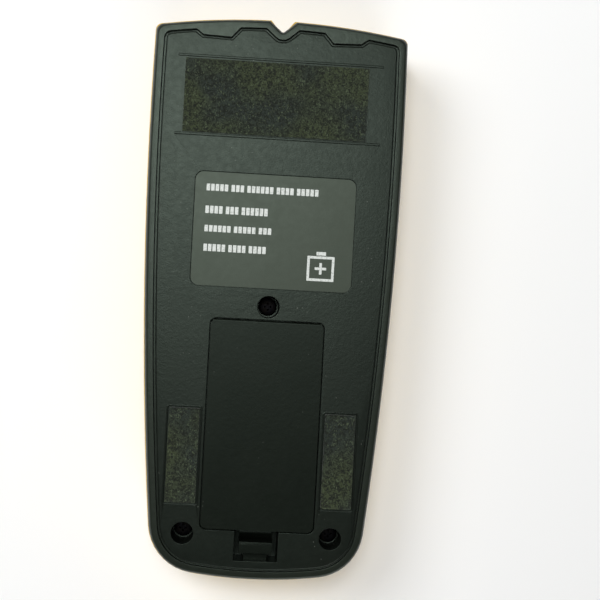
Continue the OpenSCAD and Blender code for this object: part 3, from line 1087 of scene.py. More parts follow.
SCREW_STEEL = Metal("zinc_plated_steel", (0.50, 0.51, 0.52), (0.30, 0.30, 0.29), 0.34)
SCREW_BLACK = Metal("blackened_steel", (0.005, 0.005, 0.006), (0.010, 0.009, 0.008), 0.5)

# front panel, display and keys
GLOSS_BLACK = MouldedPlastic("gloss_black_plastic", (0.006, 0.006, 0.007), (0.009, 0.009, 0.010),
                             roughness=0.12, specular=0.5, grain=2.5 * MM, depth=0.003 * MM, dust=0.3)
CLEAR_PANE = ClearPlastic("clear_pane")
RED_LENS = ClearPlastic("red_lens_plastic", (0.80, 0.02, 0.015), 0.12, 0.6)
DISPLAY_GLASS = LcdGlass("display_glass")
SEGMENT_INK = Print("display_segments", (0.012, 0.016, 0.014), (0.030, 0.036, 0.030))
WHITE_PLASTIC = MouldedPlastic("white_plastic", (0.70, 0.70, 0.66), (0.75, 0.75, 0.72), roughness=0.45,
                               specular=0.4)
LIGHT_GUIDE = DotGuide("dotted_light_guide")
CONTACT_RUBBER = LayeredRubber("layered_rubber")
KEY_PLASTIC = MouldedPlastic("key_plastic", (0.010, 0.010, 0.011), (0.014, 0.014, 0.015), roughness=0.45,
                             specular=0.35, grain=0.22 * MM)

# electronics
BOARD_MASK = SolderMask("board_solder_mask")
CHIP_EPOXY = MouldedPlastic("chip_epoxy", (0.010, 0.010, 0.011), (0.018, 0.018, 0.019), roughness=0.6,
                            specular=0.3, grain=0.12 * MM, depth=0.008 * MM)
NICKEL = Metal("nickel_plate", (0.58, 0.56, 0.52), (0.40, 0.38, 0.34), 0.28)
SOLDER = Metal("tin_solder", (0.62, 0.63, 0.64), (0.46, 0.47, 0.47), 0.36)
COPPER_FOIL = Metal("copper_foil", (0.70, 0.34, 0.17), (0.46, 0.20, 0.10), 0.30)
COPPER_WIRE = Metal("enamelled_copper", (0.60, 0.24, 0.09), (0.42, 0.15, 0.06), 0.30, (0.2, 0.2, 3.0))
CAN_SLEEVE = MouldedPlastic("blue_can_sleeve", (0.012, 0.020, 0.10), (0.018, 0.028, 0.13), roughness=0.26,
                            specular=0.5, grain=1.2 * MM, depth=0.006 * MM)
CERAMIC = MouldedPlastic("tan_ceramic", (0.30, 0.19, 0.10), (0.36, 0.24, 0.14), roughness=0.5, specular=0.4)

# battery and its leads
JACKET = BatteryWrap("battery_jacket_print")
SNAP_VINYL = Rubbery("black_vinyl", (0.012, 0.012, 0.012), (0.022, 0.022, 0.021), 0.48, 0.5 * MM, 0.01 * MM)
RED_VINYL = Rubbery("red_wire_vinyl", (0.50, 0.018, 0.014), (0.58, 0.030, 0.022), 0.38, 0.6 * MM, 0.006 * MM)
BLACK_VINYL = Rubbery("black_wire_vinyl", (0.010, 0.010, 0.010), (0.018, 0.018, 0.018), 0.38, 0.6 * MM,
                      0.006 * MM)
FOAM = Rubbery("grey_foam", (0.055, 0.055, 0.060), (0.085, 0.085, 0.090), 0.85, 0.45 * MM, 0.15 * MM)


# ---------- the case ----------


@dataclass
class CaseShells:
    """Yellow front shell, dark rear frame and the cover that is set into it."""

    edge: float = 0.12 * MM
    shell_edge: float = 0.2 * MM

    def build(self) -> None:
        """Mould the three shells."""
        for node, edge, slot, finish in (
            ("front_shell", self.shell_edge, "yellow_shell", YELLOW_SHELL),
            ("rear_frame", self.edge, "dark_case", DARK_FRAME),
            ("rear_cover", self.edge, "dark_cover", DARK_COVER),
        ):
            remoulded(node, f"{node}_moulding", edge, slot, finish)


@dataclass
class BatteryDoor:
    """The door over the battery bay and the sprung latch at its lower end."""

    edge: float = 0.11 * MM
    witness_y: float = -43.7 * MM
    witness_x: tuple[float, float] = (-10.5 * MM, 4.6 * MM)
    witness_w: float = 0.14 * MM
    witness_h: float = 0.05 * MM
    bend_y: float = -69.15 * MM
    bend_z: float = 22.5 * MM
    core_r: tuple[float, float] = (2.2 * MM, 2.8 * MM)
    core_t: float = 0.1 * MM
    core_inset: float = 0.25 * MM
    core_turn: float = math.radians(60)
    core_steps: int = 10

    def build(self) -> None:
        """Mould the door with its witness line, the latch and the bend between them."""
        door = moulded_from("battery_door", "battery_door_moulding")
        soften(door, self.edge)
        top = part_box("battery_door")[1].z
        line = slab(
            "witness_line",
            (self.witness_x[0], self.witness_y - self.witness_w / 2, top - self.witness_h),
            (self.witness_x[1], self.witness_y + self.witness_w / 2, top + self.witness_h),
        )
        soften(line, self.witness_h / 2, 1)
        door = joined("battery_door_moulding", [door, line])
        settle(door, Body.DOOR, "dark_door", DARK_DOOR, "battery_door")
        remoulded("door_latch", "door_latch_moulding", self.edge, "dark_door", DARK_DOOR, Body.LATCH)
        settle(self.bend_core(), Body.DOOR, "dark_door", DARK_DOOR)

    def bend_core(self) -> Object:
        """A strip inside the U bend that keeps the bend whole while the latch flexes.

        Returns:
            The strip.
        """
        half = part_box("door_latch")[1].x - self.core_inset
        centre = Vector((0, self.bend_y, self.bend_z))
        near, far = self.core_r
        piece = slab("latch_bend_core", (-half, -far, -self.core_t / 2), (half, -near, self.core_t / 2))
        with editing(piece):
            pick_faces(piece, facing(z=-1))
            bpy.ops.mesh.spin(steps=self.core_steps, angle=self.core_turn, center=(0, 0, 0),
                              axis=(1, 0, 0))
            bpy.ops.mesh.select_all(action="SELECT")
            bpy.ops.mesh.remove_doubles(threshold=WELD)
            face_outwards()
        piece.data.transform(
            Matrix.Translation(centre) @ Matrix.Rotation((math.pi + self.core_turn) / 2, 4, "X")
        )
        shade(piece)
        return piece


@dataclass
class FeltPad:
    """A strip of pressed felt: a displaced slab with loose fibres on its face."""

    node: str
    fibres: int
    seed: int
    cell: float = 0.42 * MM
    lump: float = 0.06 * MM
    fray: float = 0.16 * MM
    fibre_r: float = 0.035 * MM
    fibre_span: tuple[float, float] = (0.7 * MM, 1.9 * MM)
    fibre_margin: float = 0.3 * MM
    tip_margin: float = 0.05 * MM
    droop: float = 0.16 * MM
    droop_reach: float = 0.5 * MM

    def build(self) -> None:
        """Make the strip, rough up its face and edges, and lay the fibres on it."""
        low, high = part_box(self.node)
        strip = self.strip(low, high)
        self.roughen(strip, low, high)
        tangle = self.tangle(low, high)
        pad = joined(f"{self.node}_strip", [strip, tangle])
        shade(pad, 50, keep_flat=False)
        settle(pad, Body.CASE, "felt", FELT, self.node)

    def strip(self, low: Vector, high: Vector) -> Object:
        """A slab cut into small cells on its face.

        Args:
            low: The pad's lowest corner.
            high: The pad's highest corner.

        Returns:
            The slab.
        """
        size = high - low
        deselect()
        columns, rows = round(size.x / self.cell), round(size.y / self.cell)
        bpy.ops.mesh.primitive_grid_add(x_subdivisions=columns, y_subdivisions=rows, size=1)
        piece = bpy.context.object
        middle = (low + high) / 2
        place = Matrix.Translation((middle.x, middle.y, high.z))
        piece.data.transform(place @ Matrix.Diagonal((size.x, size.y, 1, 1)))
        with editing(piece):
            bpy.ops.mesh.select_all(action="SELECT")
            extend((0, 0, low.z - high.z))
            face_outwards()
        return piece

    def roughen(self, piece: Object, low: Vector, high: Vector) -> None:
        """Push the face up and down and the edges in and out.

        Args:
            piece: The slab.
            low: The pad's lowest corner.
            high: The pad's highest corner.
        """
        offset = Vector((self.seed, self.seed, 0))
        for vertex in piece.data.vertices:
            place = vertex.co
            rim = min(place.x - low.x, high.x - place.x, place.y - low.y, high.y - place.y)
            wave = noise.noise(place / (0.8 * MM) + offset) + 0.6 * noise.noise(place / (0.35 * MM))
            inwards = Vector((math.copysign(1, (low.x + high.x) / 2 - place.x),
                              math.copysign(1, (low.y + high.y) / 2 - place.y), 0))
            if rim < WELD:
                pull = self.fray * abs(noise.noise(place / (0.9 * MM) + offset))
                vertex.co += inwards * pull
            if place.z > (low.z + high.z) / 2:
                droop = self.droop * max(0.0, 1 - rim / self.droop_reach) ** 2
                vertex.co.z += self.lump * (wave - 0.6) - droop

    def tangle(self, low: Vector, high: Vector) -> Object:
        """Loose fibres, each a thin bent spindle.

        Args:
            low: The pad's lowest corner.
            high: The pad's highest corner.

        Returns:
            All the fibres as one mesh.
        """
        draw = random.Random(self.seed)
        points: list[Vector] = []
        faces: list[tuple[int, ...]] = []
        edge = self.fibre_margin
        for _ in range(self.fibres):
            length = draw.uniform(*self.fibre_span)
            turn = draw.uniform(0, math.tau)
            run = Vector((math.cos(turn), math.sin(turn), 0))
            side = Vector((-run.y, run.x, 0))
            middle = Vector((
                draw.uniform(low.x + edge, high.x - edge),
                draw.uniform(low.y + edge, high.y - edge),
                high.z - draw.uniform(0.02, 0.1) * MM,
            ))
            bow = side * draw.uniform(-0.25, 0.25) * length
            dip = Vector((0, 0, draw.uniform(0.03, 0.12) * MM))
            start = middle - run * length / 2 - dip
            end = middle + run * length / 2 - dip
            thick = self.fibre_r * draw.uniform(0.7, 1.6)
            ring = [
                middle + bow / 2 + thick * (math.cos(a) * side + math.sin(a) * Vector((0, 0, 1)))
                for a in (math.pi / 2, math.pi * 7 / 6, math.pi * 11 / 6)
            ]
            for tip in (start, end):
                for k in (0, 1):
                    tip[k] = min(max(tip[k], low[k] + self.tip_margin), high[k] - self.tip_margin)
            first = len(points)
            points += [start, *ring, end]
            for k in range(3):
                a, b = first + 1 + k, first + 1 + (k + 1) % 3
                faces += [(first, b, a), (first + 4, a, b)]
        mesh = bpy.data.meshes.new("felt_fibres")
        mesh.from_pydata(points, [], faces)
        piece = stand("felt_fibres", mesh)
        with editing(piece):
            face_outwards()
        return piece


@dataclass
class RatingLabel:
    """The smooth plate below the wide pad, with rows of plain marks instead of words."""

    ink_h: float = 0.03 * MM
    left: float = -19.9 * MM
    letter: float = 1.02 * MM
    space: float = 0.30 * MM
    corner: float = 0.12 * MM
    sign_x: tuple[float, float] = (10.6 * MM, 18.6 * MM)
    sign_y: tuple[float, float] = (6.6 * MM, 13.9 * MM)
    sign_line: float = 0.75 * MM
    sign_arm: float = 1.7 * MM
    rows: tuple[tuple[float, float, tuple[int, ...]], ...] = (
        (32.3 * MM, 2.0 * MM, (5, 3, 6, 4, 5)),
        (25.8 * MM, 2.2 * MM, (4, 3, 6)),
        (20.3 * MM, 1.9 * MM, (6, 5, 3)),
        (14.7 * MM, 2.1 * MM, (5, 4, 4)),
    )

    def build(self) -> None:
        """Make the plate and its print."""
        remoulded("rating_label", "rating_label_plate", 0.04 * MM, "label", LABEL_PLATE)
        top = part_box("rating_label")[1].z
        marks = [mark for row in self.rows for mark in self.row(top, *row)]
        settle(joined("label_print", marks), Body.CASE, "label", PALE_INK)
        settle(self.battery_sign(top), Body.CASE, "label", PALE_INK)

    def row(self, top: float, y: float, height: float, groups: tuple[int, ...]) -> list[Object]:
        """One row of marks.

        Args:
            top: Height of the plate's face.
            y: Middle of the row.
            height: Height of its marks.
            groups: How many marks stand together in each group.

        Returns:
            The marks.
        """
        marks = []
        x = self.left
        for group in groups:
            for _ in range(group):
                marks.append(self.mark(top, x, x + self.letter, y - height / 2, y + height / 2))
                x += self.letter + self.space
            x += 2.2 * self.space
        return marks

    def mark(self, top: float, x0: float, x1: float, y0: float, y1: float) -> Object:
        """One flat printed mark between two corners."""
        low, high = (x0, y0, top - self.ink_h / 3), (x1, y1, top + self.ink_h)
        return slab("mark", low, high, self.corner, 2)

    def battery_sign(self, top: float) -> Object:
        """A plain battery outline with a plus in it.

        Args:
            top: Height of the plate's face.

        Returns:
            The printed sign.
        """
        (x0, x1), (y0, y1) = self.sign_x, self.sign_y
        middle_x, middle_y = (x0 + x1) / 2, (y0 + y1) / 2
        line, arm = self.sign_line, self.sign_arm
        sides = [
            (x0, x1, y0, y0 + line),
            (x0, x1, y1 - line, y1),
            (x0, x0 + line, y0 + line, y1 - line),
            (x1 - line, x1, y0 + line, y1 - line),
            (middle_x - 1.4 * MM, middle_x + 1.4 * MM, y1 + 0.25 * MM, y1 + 1.3 * MM),
            (middle_x - arm, middle_x + arm, middle_y - line / 2, middle_y + line / 2),
            (middle_x - line / 2, middle_x + line / 2, middle_y + line / 2, middle_y + arm),
            (middle_x - line / 2, middle_x + line / 2, middle_y - arm, middle_y - line / 2),
        ]
        return joined("battery_sign", [self.mark(top, *side) for side in sides])


@dataclass
class CrossScrews:
    """Screws of one size with a cross recess and a cut thread."""

    node: str
    name: str
    head_d: float
    head_h: float
    shank_d: float
    length: float
    pitch: float
    places: list[Point]
    axis: Axis = Axis.UP
    slot: str = "screw_steel"
    finish: Finish = SCREW_STEEL

    def build(self) -> None:
        """Make one screw and set a copy of it in each place."""
        first = self.screw()
        turn = TURNS[self.axis]
        copies = [copied(first, self.name, Matrix.Translation(place) @ turn) for place in self.places]
        bpy.data.objects.remove(first)
        settle(joined(self.name, copies), Body.CASE, self.slot, self.finish, self.node)

    def screw(self) -> Object:
        """One screw, head up, with the underside of its head at the origin.

        Returns:
            The screw.
        """
        r, h, s = self.head_d / 2, self.head_h, self.shank_d / 2
        core = s * 0.8
        profile = [(0, h), (r * 0.62, h), (r * 0.88, h * 0.86), (r, h * 0.55), (r, 0), (core, 0)]
        z = -0.3 * self.pitch
        while z > -self.length + 2.2 * self.pitch:
            profile += [(core, z), (s, z - 0.3 * self.pitch), (s, z - 0.42 * self.pitch),
                        (core, z - 0.72 * self.pitch)]
            z -= self.pitch
        profile += [(core * 0.9, -self.length + 1.4 * self.pitch), (0, -self.length)]
        piece = turned("screw", profile, (0, 0, 0), steps=32)
        arm, width, depth = r * 0.56, r * 0.24, h * 0.62
        for turn in (0, math.pi / 2):
            blade = slab("blade", (-arm, -width / 2, h - depth), (arm, width / 2, h + MM))
            with editing(blade):
                pick_faces(blade, facing(z=-1))
                bpy.ops.transform.resize(value=(0.45, 0.8, 1))
            blade.data.transform(Matrix.Rotation(turn, 4, "Z"))
            cut(piece, blade)
        shade(piece, 30)
        return piece


# ---------- the face: display and keys ----------


@dataclass
class FrontPanel:
    """Glossy bezel, clear pane and red signal lens in the tool's face."""

    lens_hollow: float = 1.5 * MM

    def build(self) -> None:
        """Mould the bezel and the pane, and turn the domed lens."""
        remoulded("window_bezel", "window_bezel_frame", 0.22 * MM, "bezel", GLOSS_BLACK, segments=3)
        remoulded("display_window", "display_window_pane", 0.12 * MM, "clear_window", CLEAR_PANE)
        settle(self.lens(), Body.CASE, "red_lens", RED_LENS, "signal_lens")
        settle(self.lamp(), Body.CASE, "red_lens", RED_LENS, "signal_led")

    def lens(self) -> Object:
        """The hollow lens, with its flange inside the shell.

        Returns:
            The lens.
        """
        low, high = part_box("signal_lens")
        flange, height = (high.x - low.x) / 2, high.z - low.z
        radius, hollow = flange - 0.5 * MM, self.lens_hollow
        profile = [
            (0, 1.4 * MM), (hollow * 0.6, 1.25 * MM), (hollow, 0.8 * MM), (hollow, 0), (flange, 0),
            (flange, 0.5 * MM), (radius, 0.62 * MM), (radius, height - 0.7 * MM),
            (radius * 0.92, height - 0.38 * MM), (radius * 0.7, height - 0.14 * MM),
            (radius * 0.36, height - 0.03 * MM), (0, height),
        ]
        piece = turned("signal_lens_dome", profile, (0, (low.y + high.y) / 2, high.z), Axis.DOWN)
        shade(piece, 40)
        return piece

    def lamp(self) -> Object:
        """The small lamp behind the lens, with its rim at the board.

        Returns:
            The lamp.
        """
        low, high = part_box("signal_led")
        r, height = (high.x - low.x) / 2, high.z - low.z
        profile = [(0, 0), (r, 0), (r, 0.5 * MM), (r * 0.9, 0.62 * MM), (r * 0.9, height - r)]
        profile += [
            (r * 0.9 * math.cos(a), height - r + r * math.sin(a))
            for a in (math.radians(deg) for deg in (20, 40, 60, 78))
        ]
        at = (0, (low.y + high.y) / 2, high.z)
        piece = turned("signal_led_bulb", [*profile, (0, height)], at, Axis.DOWN, 32)
        shade(piece, 40)
        return piece


@dataclass
class Display:
    """Display glass in its carrier, with the light guide and the two contact strips."""

    ink_h: float = 0.02 * MM
    bars: int = 9
    bar_w: float = 2.0 * MM
    bar_gap: float = 1.1 * MM
    bar_y: float = 33.0 * MM
    bar_short: float = 2.2 * MM
    bar_step: float = 1.15 * MM
    arrow_y: float = 50.0 * MM
    arrow_h: float = 5.0 * MM
    arrow_half: float = 3.0 * MM

    def build(self) -> None:
        """Make the stack from the glass to the board, and its plain segments."""
        remoulded("lcd_panel", "lcd_glass_pair", 0.06 * MM, "lcd_glass", DISPLAY_GLASS)
        settle(self.segments(), Body.CASE, "lcd_glass", SEGMENT_INK)
        for node, name, edge, slot, finish in (
            ("lcd_frame", "lcd_carrier", 0.2 * MM, "white_plastic", WHITE_PLASTIC),
            ("backlight", "light_guide_plate", 0.1 * MM, "light_guide", LIGHT_GUIDE),
            ("contact_strips", "contact_strip_pair", 0.18 * MM, "contact_rubber", CONTACT_RUBBER),
        ):
            remoulded(node, name, edge, slot, finish)

    def segments(self) -> Object:
        """A rising and falling row of strength bars, and an arrow towards the notch.

        Returns:
            All the segments as one mesh.
        """
        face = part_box("lcd_panel")[0].z
        z0, z1 = face - self.ink_h, face + self.ink_h / 2
        marks = []
        for k in range(self.bars):
            off = k - (self.bars - 1) / 2
            x = off * (self.bar_w + self.bar_gap)
            tall = self.bar_short + self.bar_step * (self.bars // 2 - abs(off))
            marks.append(slab("bar", (x - self.bar_w / 2, self.bar_y, z0),
                              (x + self.bar_w / 2, self.bar_y + tall, z1), 0.2 * MM, 2))
        half = self.arrow_half
        head = slab("arrow", (-half, self.arrow_y, z0), (half, self.arrow_y + self.arrow_h, z1))
        with editing(head):
            pick_faces(head, facing(y=1))
            bpy.ops.transform.resize(value=(0.08, 1, 1))
        return joined("lcd_segments", [*marks, head])


@dataclass
class ModeKey:
    """A round key with a dished face and a plain mark in the dish."""

    node: str
    body: Body
    dish_r: float = 3.9 * MM
    dish_depth: float = 0.24 * MM
    ink_h: float = 0.03 * MM
    line: float = 0.55 * MM

    def build(self) -> None:
        """Turn the key and print its mark."""
        low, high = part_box(self.node)
        flange, height = (high.x - low.x) / 2, high.z - low.z
        radius, dish = flange - 1.0 * MM, self.dish_r
        profile = [
            (0, 0), (flange - 0.15 * MM, 0), (flange, 0.12 * MM), (flange, 0.5 * MM),
            (flange - 0.1 * MM, 0.6 * MM), (radius, 0.62 * MM), (radius, height - 0.3 * MM),
            (radius - 0.1 * MM, height - 0.1 * MM), (radius - 0.4 * MM, height),
            (dish + 1.1 * MM, height), (dish + 0.4 * MM, height - self.dish_depth * 0.6),
            (dish, height - self.dish_depth), (0, height - self.dish_depth),
        ]
        at = centred(low, high, high.z)
        cap = turned(f"{self.node}_cap", profile, at, Axis.DOWN, 64)
        shade(cap, 30)
        settle(cap, self.body, "key_plastic", KEY_PLASTIC, self.node)
        floor = low.z + self.dish_depth
        mark = joined(f"{self.node}_mark", self.mark())
        mark.data.transform(Matrix.Translation((at[0], at[1], floor)))
        settle(mark, self.body, "key_plastic", PALE_INK)

    def stroke(self, start: tuple[float, float], end: tuple[float, float], height: float) -> Object:
        """One printed line between two places in the dish.

        Args:
            start: Where it starts.
            end: Where it ends.
            height: How far it stands over the dish.

        Returns:
            The line.
        """
        run = Vector(end) - Vector(start)
        half = self.line / 2
        low, high = (-half, -half, -height), (run.length + half, half, height)
        piece = slab("stroke", low, high, half * 0.9, 4)
        turn = Matrix.Rotation(math.atan2(run.y, run.x), 4, "Z")
        piece.data.transform(Matrix.Translation((*start, 0)) @ turn)
        return piece

    def path(self, points: list[tuple[float, float]]) -> list[Object]:
        """Printed lines from place to place, in turn thin and thick so that none lie flush.

        Args:
            points: The places, in order.

        Returns:
            The lines.
        """
        return [
            self.stroke(start, end, self.ink_h * (1.0 + 0.2 * (k % 2)))
            for k, (start, end) in enumerate(zip(points, points[1:]))
        ]

    def mark(self) -> list[Object]:
        """Two uprights, a hexagon or a wave, by the key's task.

        Returns:
            The lines of the mark.
        """
        r = self.dish_r * 0.62
        if self.body is Body.STUD_KEY:
            return [stroke for x in (-r / 2, r / 2) for stroke in self.path([(x, -r), (x, r)])]
        if self.body is Body.METAL_KEY:
            turns = [math.radians(60 * k + 30) for k in range(7)]
            return self.path([(r * math.cos(a), r * math.sin(a)) for a in turns])
        wave = [(r * (k / 6 - 1) * 1.1, 0.6 * r * math.sin(k * math.pi / 6)) for k in range(13)]
        return self.path(wave)


@dataclass
class KeySwitches:
    """Three small switches on the main board: black base, metal lid, round plunger, four feet."""

    base_half: float = 2.9 * MM
    base_h: float = 1.7 * MM
    plunger_r: float = 1.6 * MM
    plunger_round: float = 0.2 * MM
    lid_half: float = 3.0 * MM
    lid_h: float = 0.35 * MM
    hole_r: float = 1.75 * MM
    foot_y: float = 2.2 * MM
    foot_size: Point = (0.7 * MM, 0.7 * MM, 0.9 * MM)

    def build(self) -> None:
        """Make one switch's parts under each key."""
        low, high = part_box("key_switches")
        y, board = (low.y + high.y) / 2, high.z
        bases, lids = [], []
        for node in ("key_stud", "key_metal", "key_wire"):
            near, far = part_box(node)
            x = (near.x + far.x) / 2
            bases += self.base(x, y, board, low.z)
            lids += self.lid(x, y, board)
        assembled("key_switch_bases", bases, "pin_header", CHIP_EPOXY, edge=0.08 * MM)
        assembled("key_switch_lids", lids, "switch_metal", NICKEL, "key_switches", edge=0.05 * MM)

    def base(self, x: float, y: float, board: float, tip: float) -> list[Object]:
        """The moulded base, and the plunger that points at the key.

        Args:
            x: Middle of the switch.
            y: Middle of the switch.
            board: Height of the board's face.
            tip: Height of the plunger's tip.

        Returns:
            Both parts.
        """
        half, face = self.base_half, board - self.base_h
        body = slab("base", (x - half, y - half, face), (x + half, y + half, board), 0.3 * MM, 2)
        r, seat = self.plunger_r, face + 0.1 * MM
        h, turn = seat - tip, self.plunger_round
        profile = [(0, 0), (r, 0), (r, h - turn), (r - turn, h), (0, h)]
        return [body, turned("plunger", profile, (x, y, seat), Axis.DOWN, 24)]

    def lid(self, x: float, y: float, board: float) -> list[Object]:
        """The metal lid with its round hole, and the four feet on the board.

        Args:
            x: Middle of the switch.
            y: Middle of the switch.
            board: Height of the board's face.

        Returns:
            The lid and the feet.
        """
        half, top, r = self.lid_half, board - self.base_h, self.hole_r
        low, high = (x - half, y - half, top - self.lid_h), (x + half, y + half, top + 0.05 * MM)
        lid = slab("lid", low, high, 0.5 * MM, 3)
        hole = [(0, 0), (r, 0), (r, 2 * MM), (0, 2 * MM)]
        cut(lid, turned("hole", hole, (x, y, top - MM), steps=24))
        feet = []
        for foot_x in (x - half, x + half):
            for foot_y in (y - self.foot_y, y + self.foot_y):
                w, length, h = self.foot_size
                feet.append(slab("foot", (foot_x - w / 2, foot_y - length / 2, board - h),
                                 (foot_x + w / 2, foot_y + length / 2, board)))
        return [lid, *feet]


# ---------- the electronics ----------


@dataclass
class Boards:
    """Main board and sensing board, with their copper plates and the pins between them."""

    edge: float = 0.08 * MM
    pin_count: int = 5
    pin_w: float = 0.64 * MM
    header_h: float = 2.5 * MM
    notch: float = 0.45 * MM

    def build(self) -> None:
        """Make the two boards, the sensing plates and the pins."""
        for node in ("main_board", "sensor_board"):
            remoulded(node, f"{node}_panel", self.edge, "board_green", BOARD_MASK)
        remoulded("sensor_plates", "sensor_plate_foil", 0.03 * MM, "copper", COPPER_FOIL)
        self.pins()

    def pins(self) -> None:
        """Two headers with notched sides, and a pointed pin for each way."""
        low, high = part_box("board_pins")
        x, pitch = (low.x + high.x) / 2, (high.y - low.y) / self.pin_count
        blocks, pins = [], []
        for k in range(self.pin_count):
            y = low.y + (k + 0.5) * pitch
            for z in (low.z, high.z - self.header_h):
                corner = (high.x, y + pitch / 2, z + self.header_h)
                blocks.append(slab("block", (low.x, y - pitch / 2, z), corner, self.notch, 1))
            pins.append(self.pin(x, y, low.z + self.header_h * 0.8, high.z - self.header_h * 0.8))
        assembled("board_pin_headers", blocks, "pin_header", CHIP_EPOXY, "board_pins",
                  edge=0.05 * MM, segments=1)
        assembled("board_pin_row", pins, "switch_metal", NICKEL)

    def pin(self, x: float, y: float, z0: float, z1: float) -> Object:
        """One square pin with tapered ends.

        Args:
            x: Middle of the pin.
            y: Middle of the pin.
            z0: Its lower shoulder.
            z1: Its upper shoulder.

        Returns:
            The pin.
        """
        half = self.pin_w / 2
        pin = slab("pin", (x - half, y - half, z0), (x + half, y + half, z1))
        with editing(pin):
            pick_faces(pin, facing(z=1, both=True))
            bpy.ops.mesh.inset(thickness=half * 0.4, depth=half * 0.7, use_individual=True)
        return pin


@dataclass(frozen=True)
class Package:
    """Place and size of one chip."""

    x: float
    y: float
    width: float
    length: float
    height: float
    sides: tuple[int, ...] = (0, 180)


@dataclass
class Chips:
    """Moulded chips on the main board, each with gull-wing legs and a key dimple."""

    packages: tuple[Package, ...] = (
        Package(8 * MM, 24 * MM, 10 * MM, 10 * MM, 1.5 * MM, (0, 90, 180, 270)),
        *(Package(-14 * MM, y * MM, 4 * MM, 5 * MM, 1.5 * MM) for y in (17, 27, 37)),
        Package(-3 * MM, 10 * MM, 3 * MM, 5 * MM, 1.2 * MM),
    )
    clearance: float = 0.12 * MM
    draft: float = 0.3 * MM
    dimple_inset: float = 0.75 * MM
    leg_pitch: float = 0.8 * MM
    leg_w: float = 0.36 * MM
    leg_t: float = 0.15 * MM
    leg_reach: float = 1.0 * MM
    end_gap: float = 0.6 * MM

    def build(self) -> None:
        """Make each chip's body and legs, at the places of the CAD chips."""
        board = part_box("control_chips")[0].z
        bodies, legs = [], []
        for chip in self.packages:
            bodies.append(self.body(chip, board))
            for side in chip.sides:
                legs += self.row(chip, board, side)
        assembled("chip_packages", bodies, "chip_black", CHIP_EPOXY, "control_chips",
                  edge=0.06 * MM, segments=1)
        assembled("chip_legs", legs, "switch_metal", NICKEL)

    def body(self, chip: Package, board: float) -> Object:
        """A moulded body with drafted sides and a round dimple by its first leg.

        Args:
            chip: Its place and size.
            board: Height of the board's face.

        Returns:
            The body.
        """
        x, y, w, length = chip.x, chip.y, chip.width, chip.length
        low, waist, top = board + self.clearance, board + chip.height * 0.5, board + chip.height
        body = slab("package", (x - w / 2, y - length / 2, low), (x + w / 2, y + length / 2, waist))
        draft = (1 - self.draft / w, 1 - self.draft / length, 1)
        with editing(body):
            pick_faces(body, facing(z=1))
            extend((0, 0, top - waist))
            bpy.ops.transform.resize(value=draft)
            pick_faces(body, facing(z=-1))
            bpy.ops.transform.resize(value=draft)
        dish = [(0, -0.12 * MM), (0.3 * MM, 0), (0.34 * MM, 0.2 * MM), (0, 0.2 * MM)]
        at = (x - w / 2 + self.dimple_inset, y + length / 2 - self.dimple_inset, top)
        cut(body, turned("dimple", dish, at, steps=16))
        return body

    def row(self, chip: Package, board: float, side: int) -> list[Object]:
        """The legs along one side of a chip.

        Args:
            chip: Its place and size.
            board: Height of the board's face.
            side: Which side this is, in degrees round the chip.

        Returns:
            The legs.
        """
        along = side % 180 == 0
        half, run = (chip.width / 2, chip.length) if along else (chip.length / 2, chip.width)
        count = int((run - self.end_gap) / self.leg_pitch)
        place = Matrix.Translation((chip.x, chip.y, 0)) @ Matrix.Rotation(math.radians(side), 4, "Z")
        legs = []
        for k in range(count):
            leg = self.leg(half - self.leg_t, board, chip.height)
            step = (0, (k - (count - 1) / 2) * self.leg_pitch, 0)
            leg.data.transform(place @ Matrix.Translation(step))
            legs.append(leg)
        return legs

    def leg(self, start: float, board: float, height: float) -> Object:
        """One leg, bent down to the board and out along it.

        Args:
            start: Where it leaves the body, from the chip's middle.
            board: Height of the board's face.
            height: Height of the chip.

        Returns:
            The leg.
        """
        thick, z, reach = self.leg_t, board + height * 0.5, self.leg_reach
        leg = slab("leg", (start, -self.leg_w / 2, z - thick / 2),
                   (start + reach * 0.4, self.leg_w / 2, z + thick / 2))
        with editing(leg):
            pick_faces(leg, facing(x=1))
            for move in ((reach * 0.22, 0, board + thick / 2 - z), (reach * 0.4, 0, 0)):
                extend(move)
        return leg


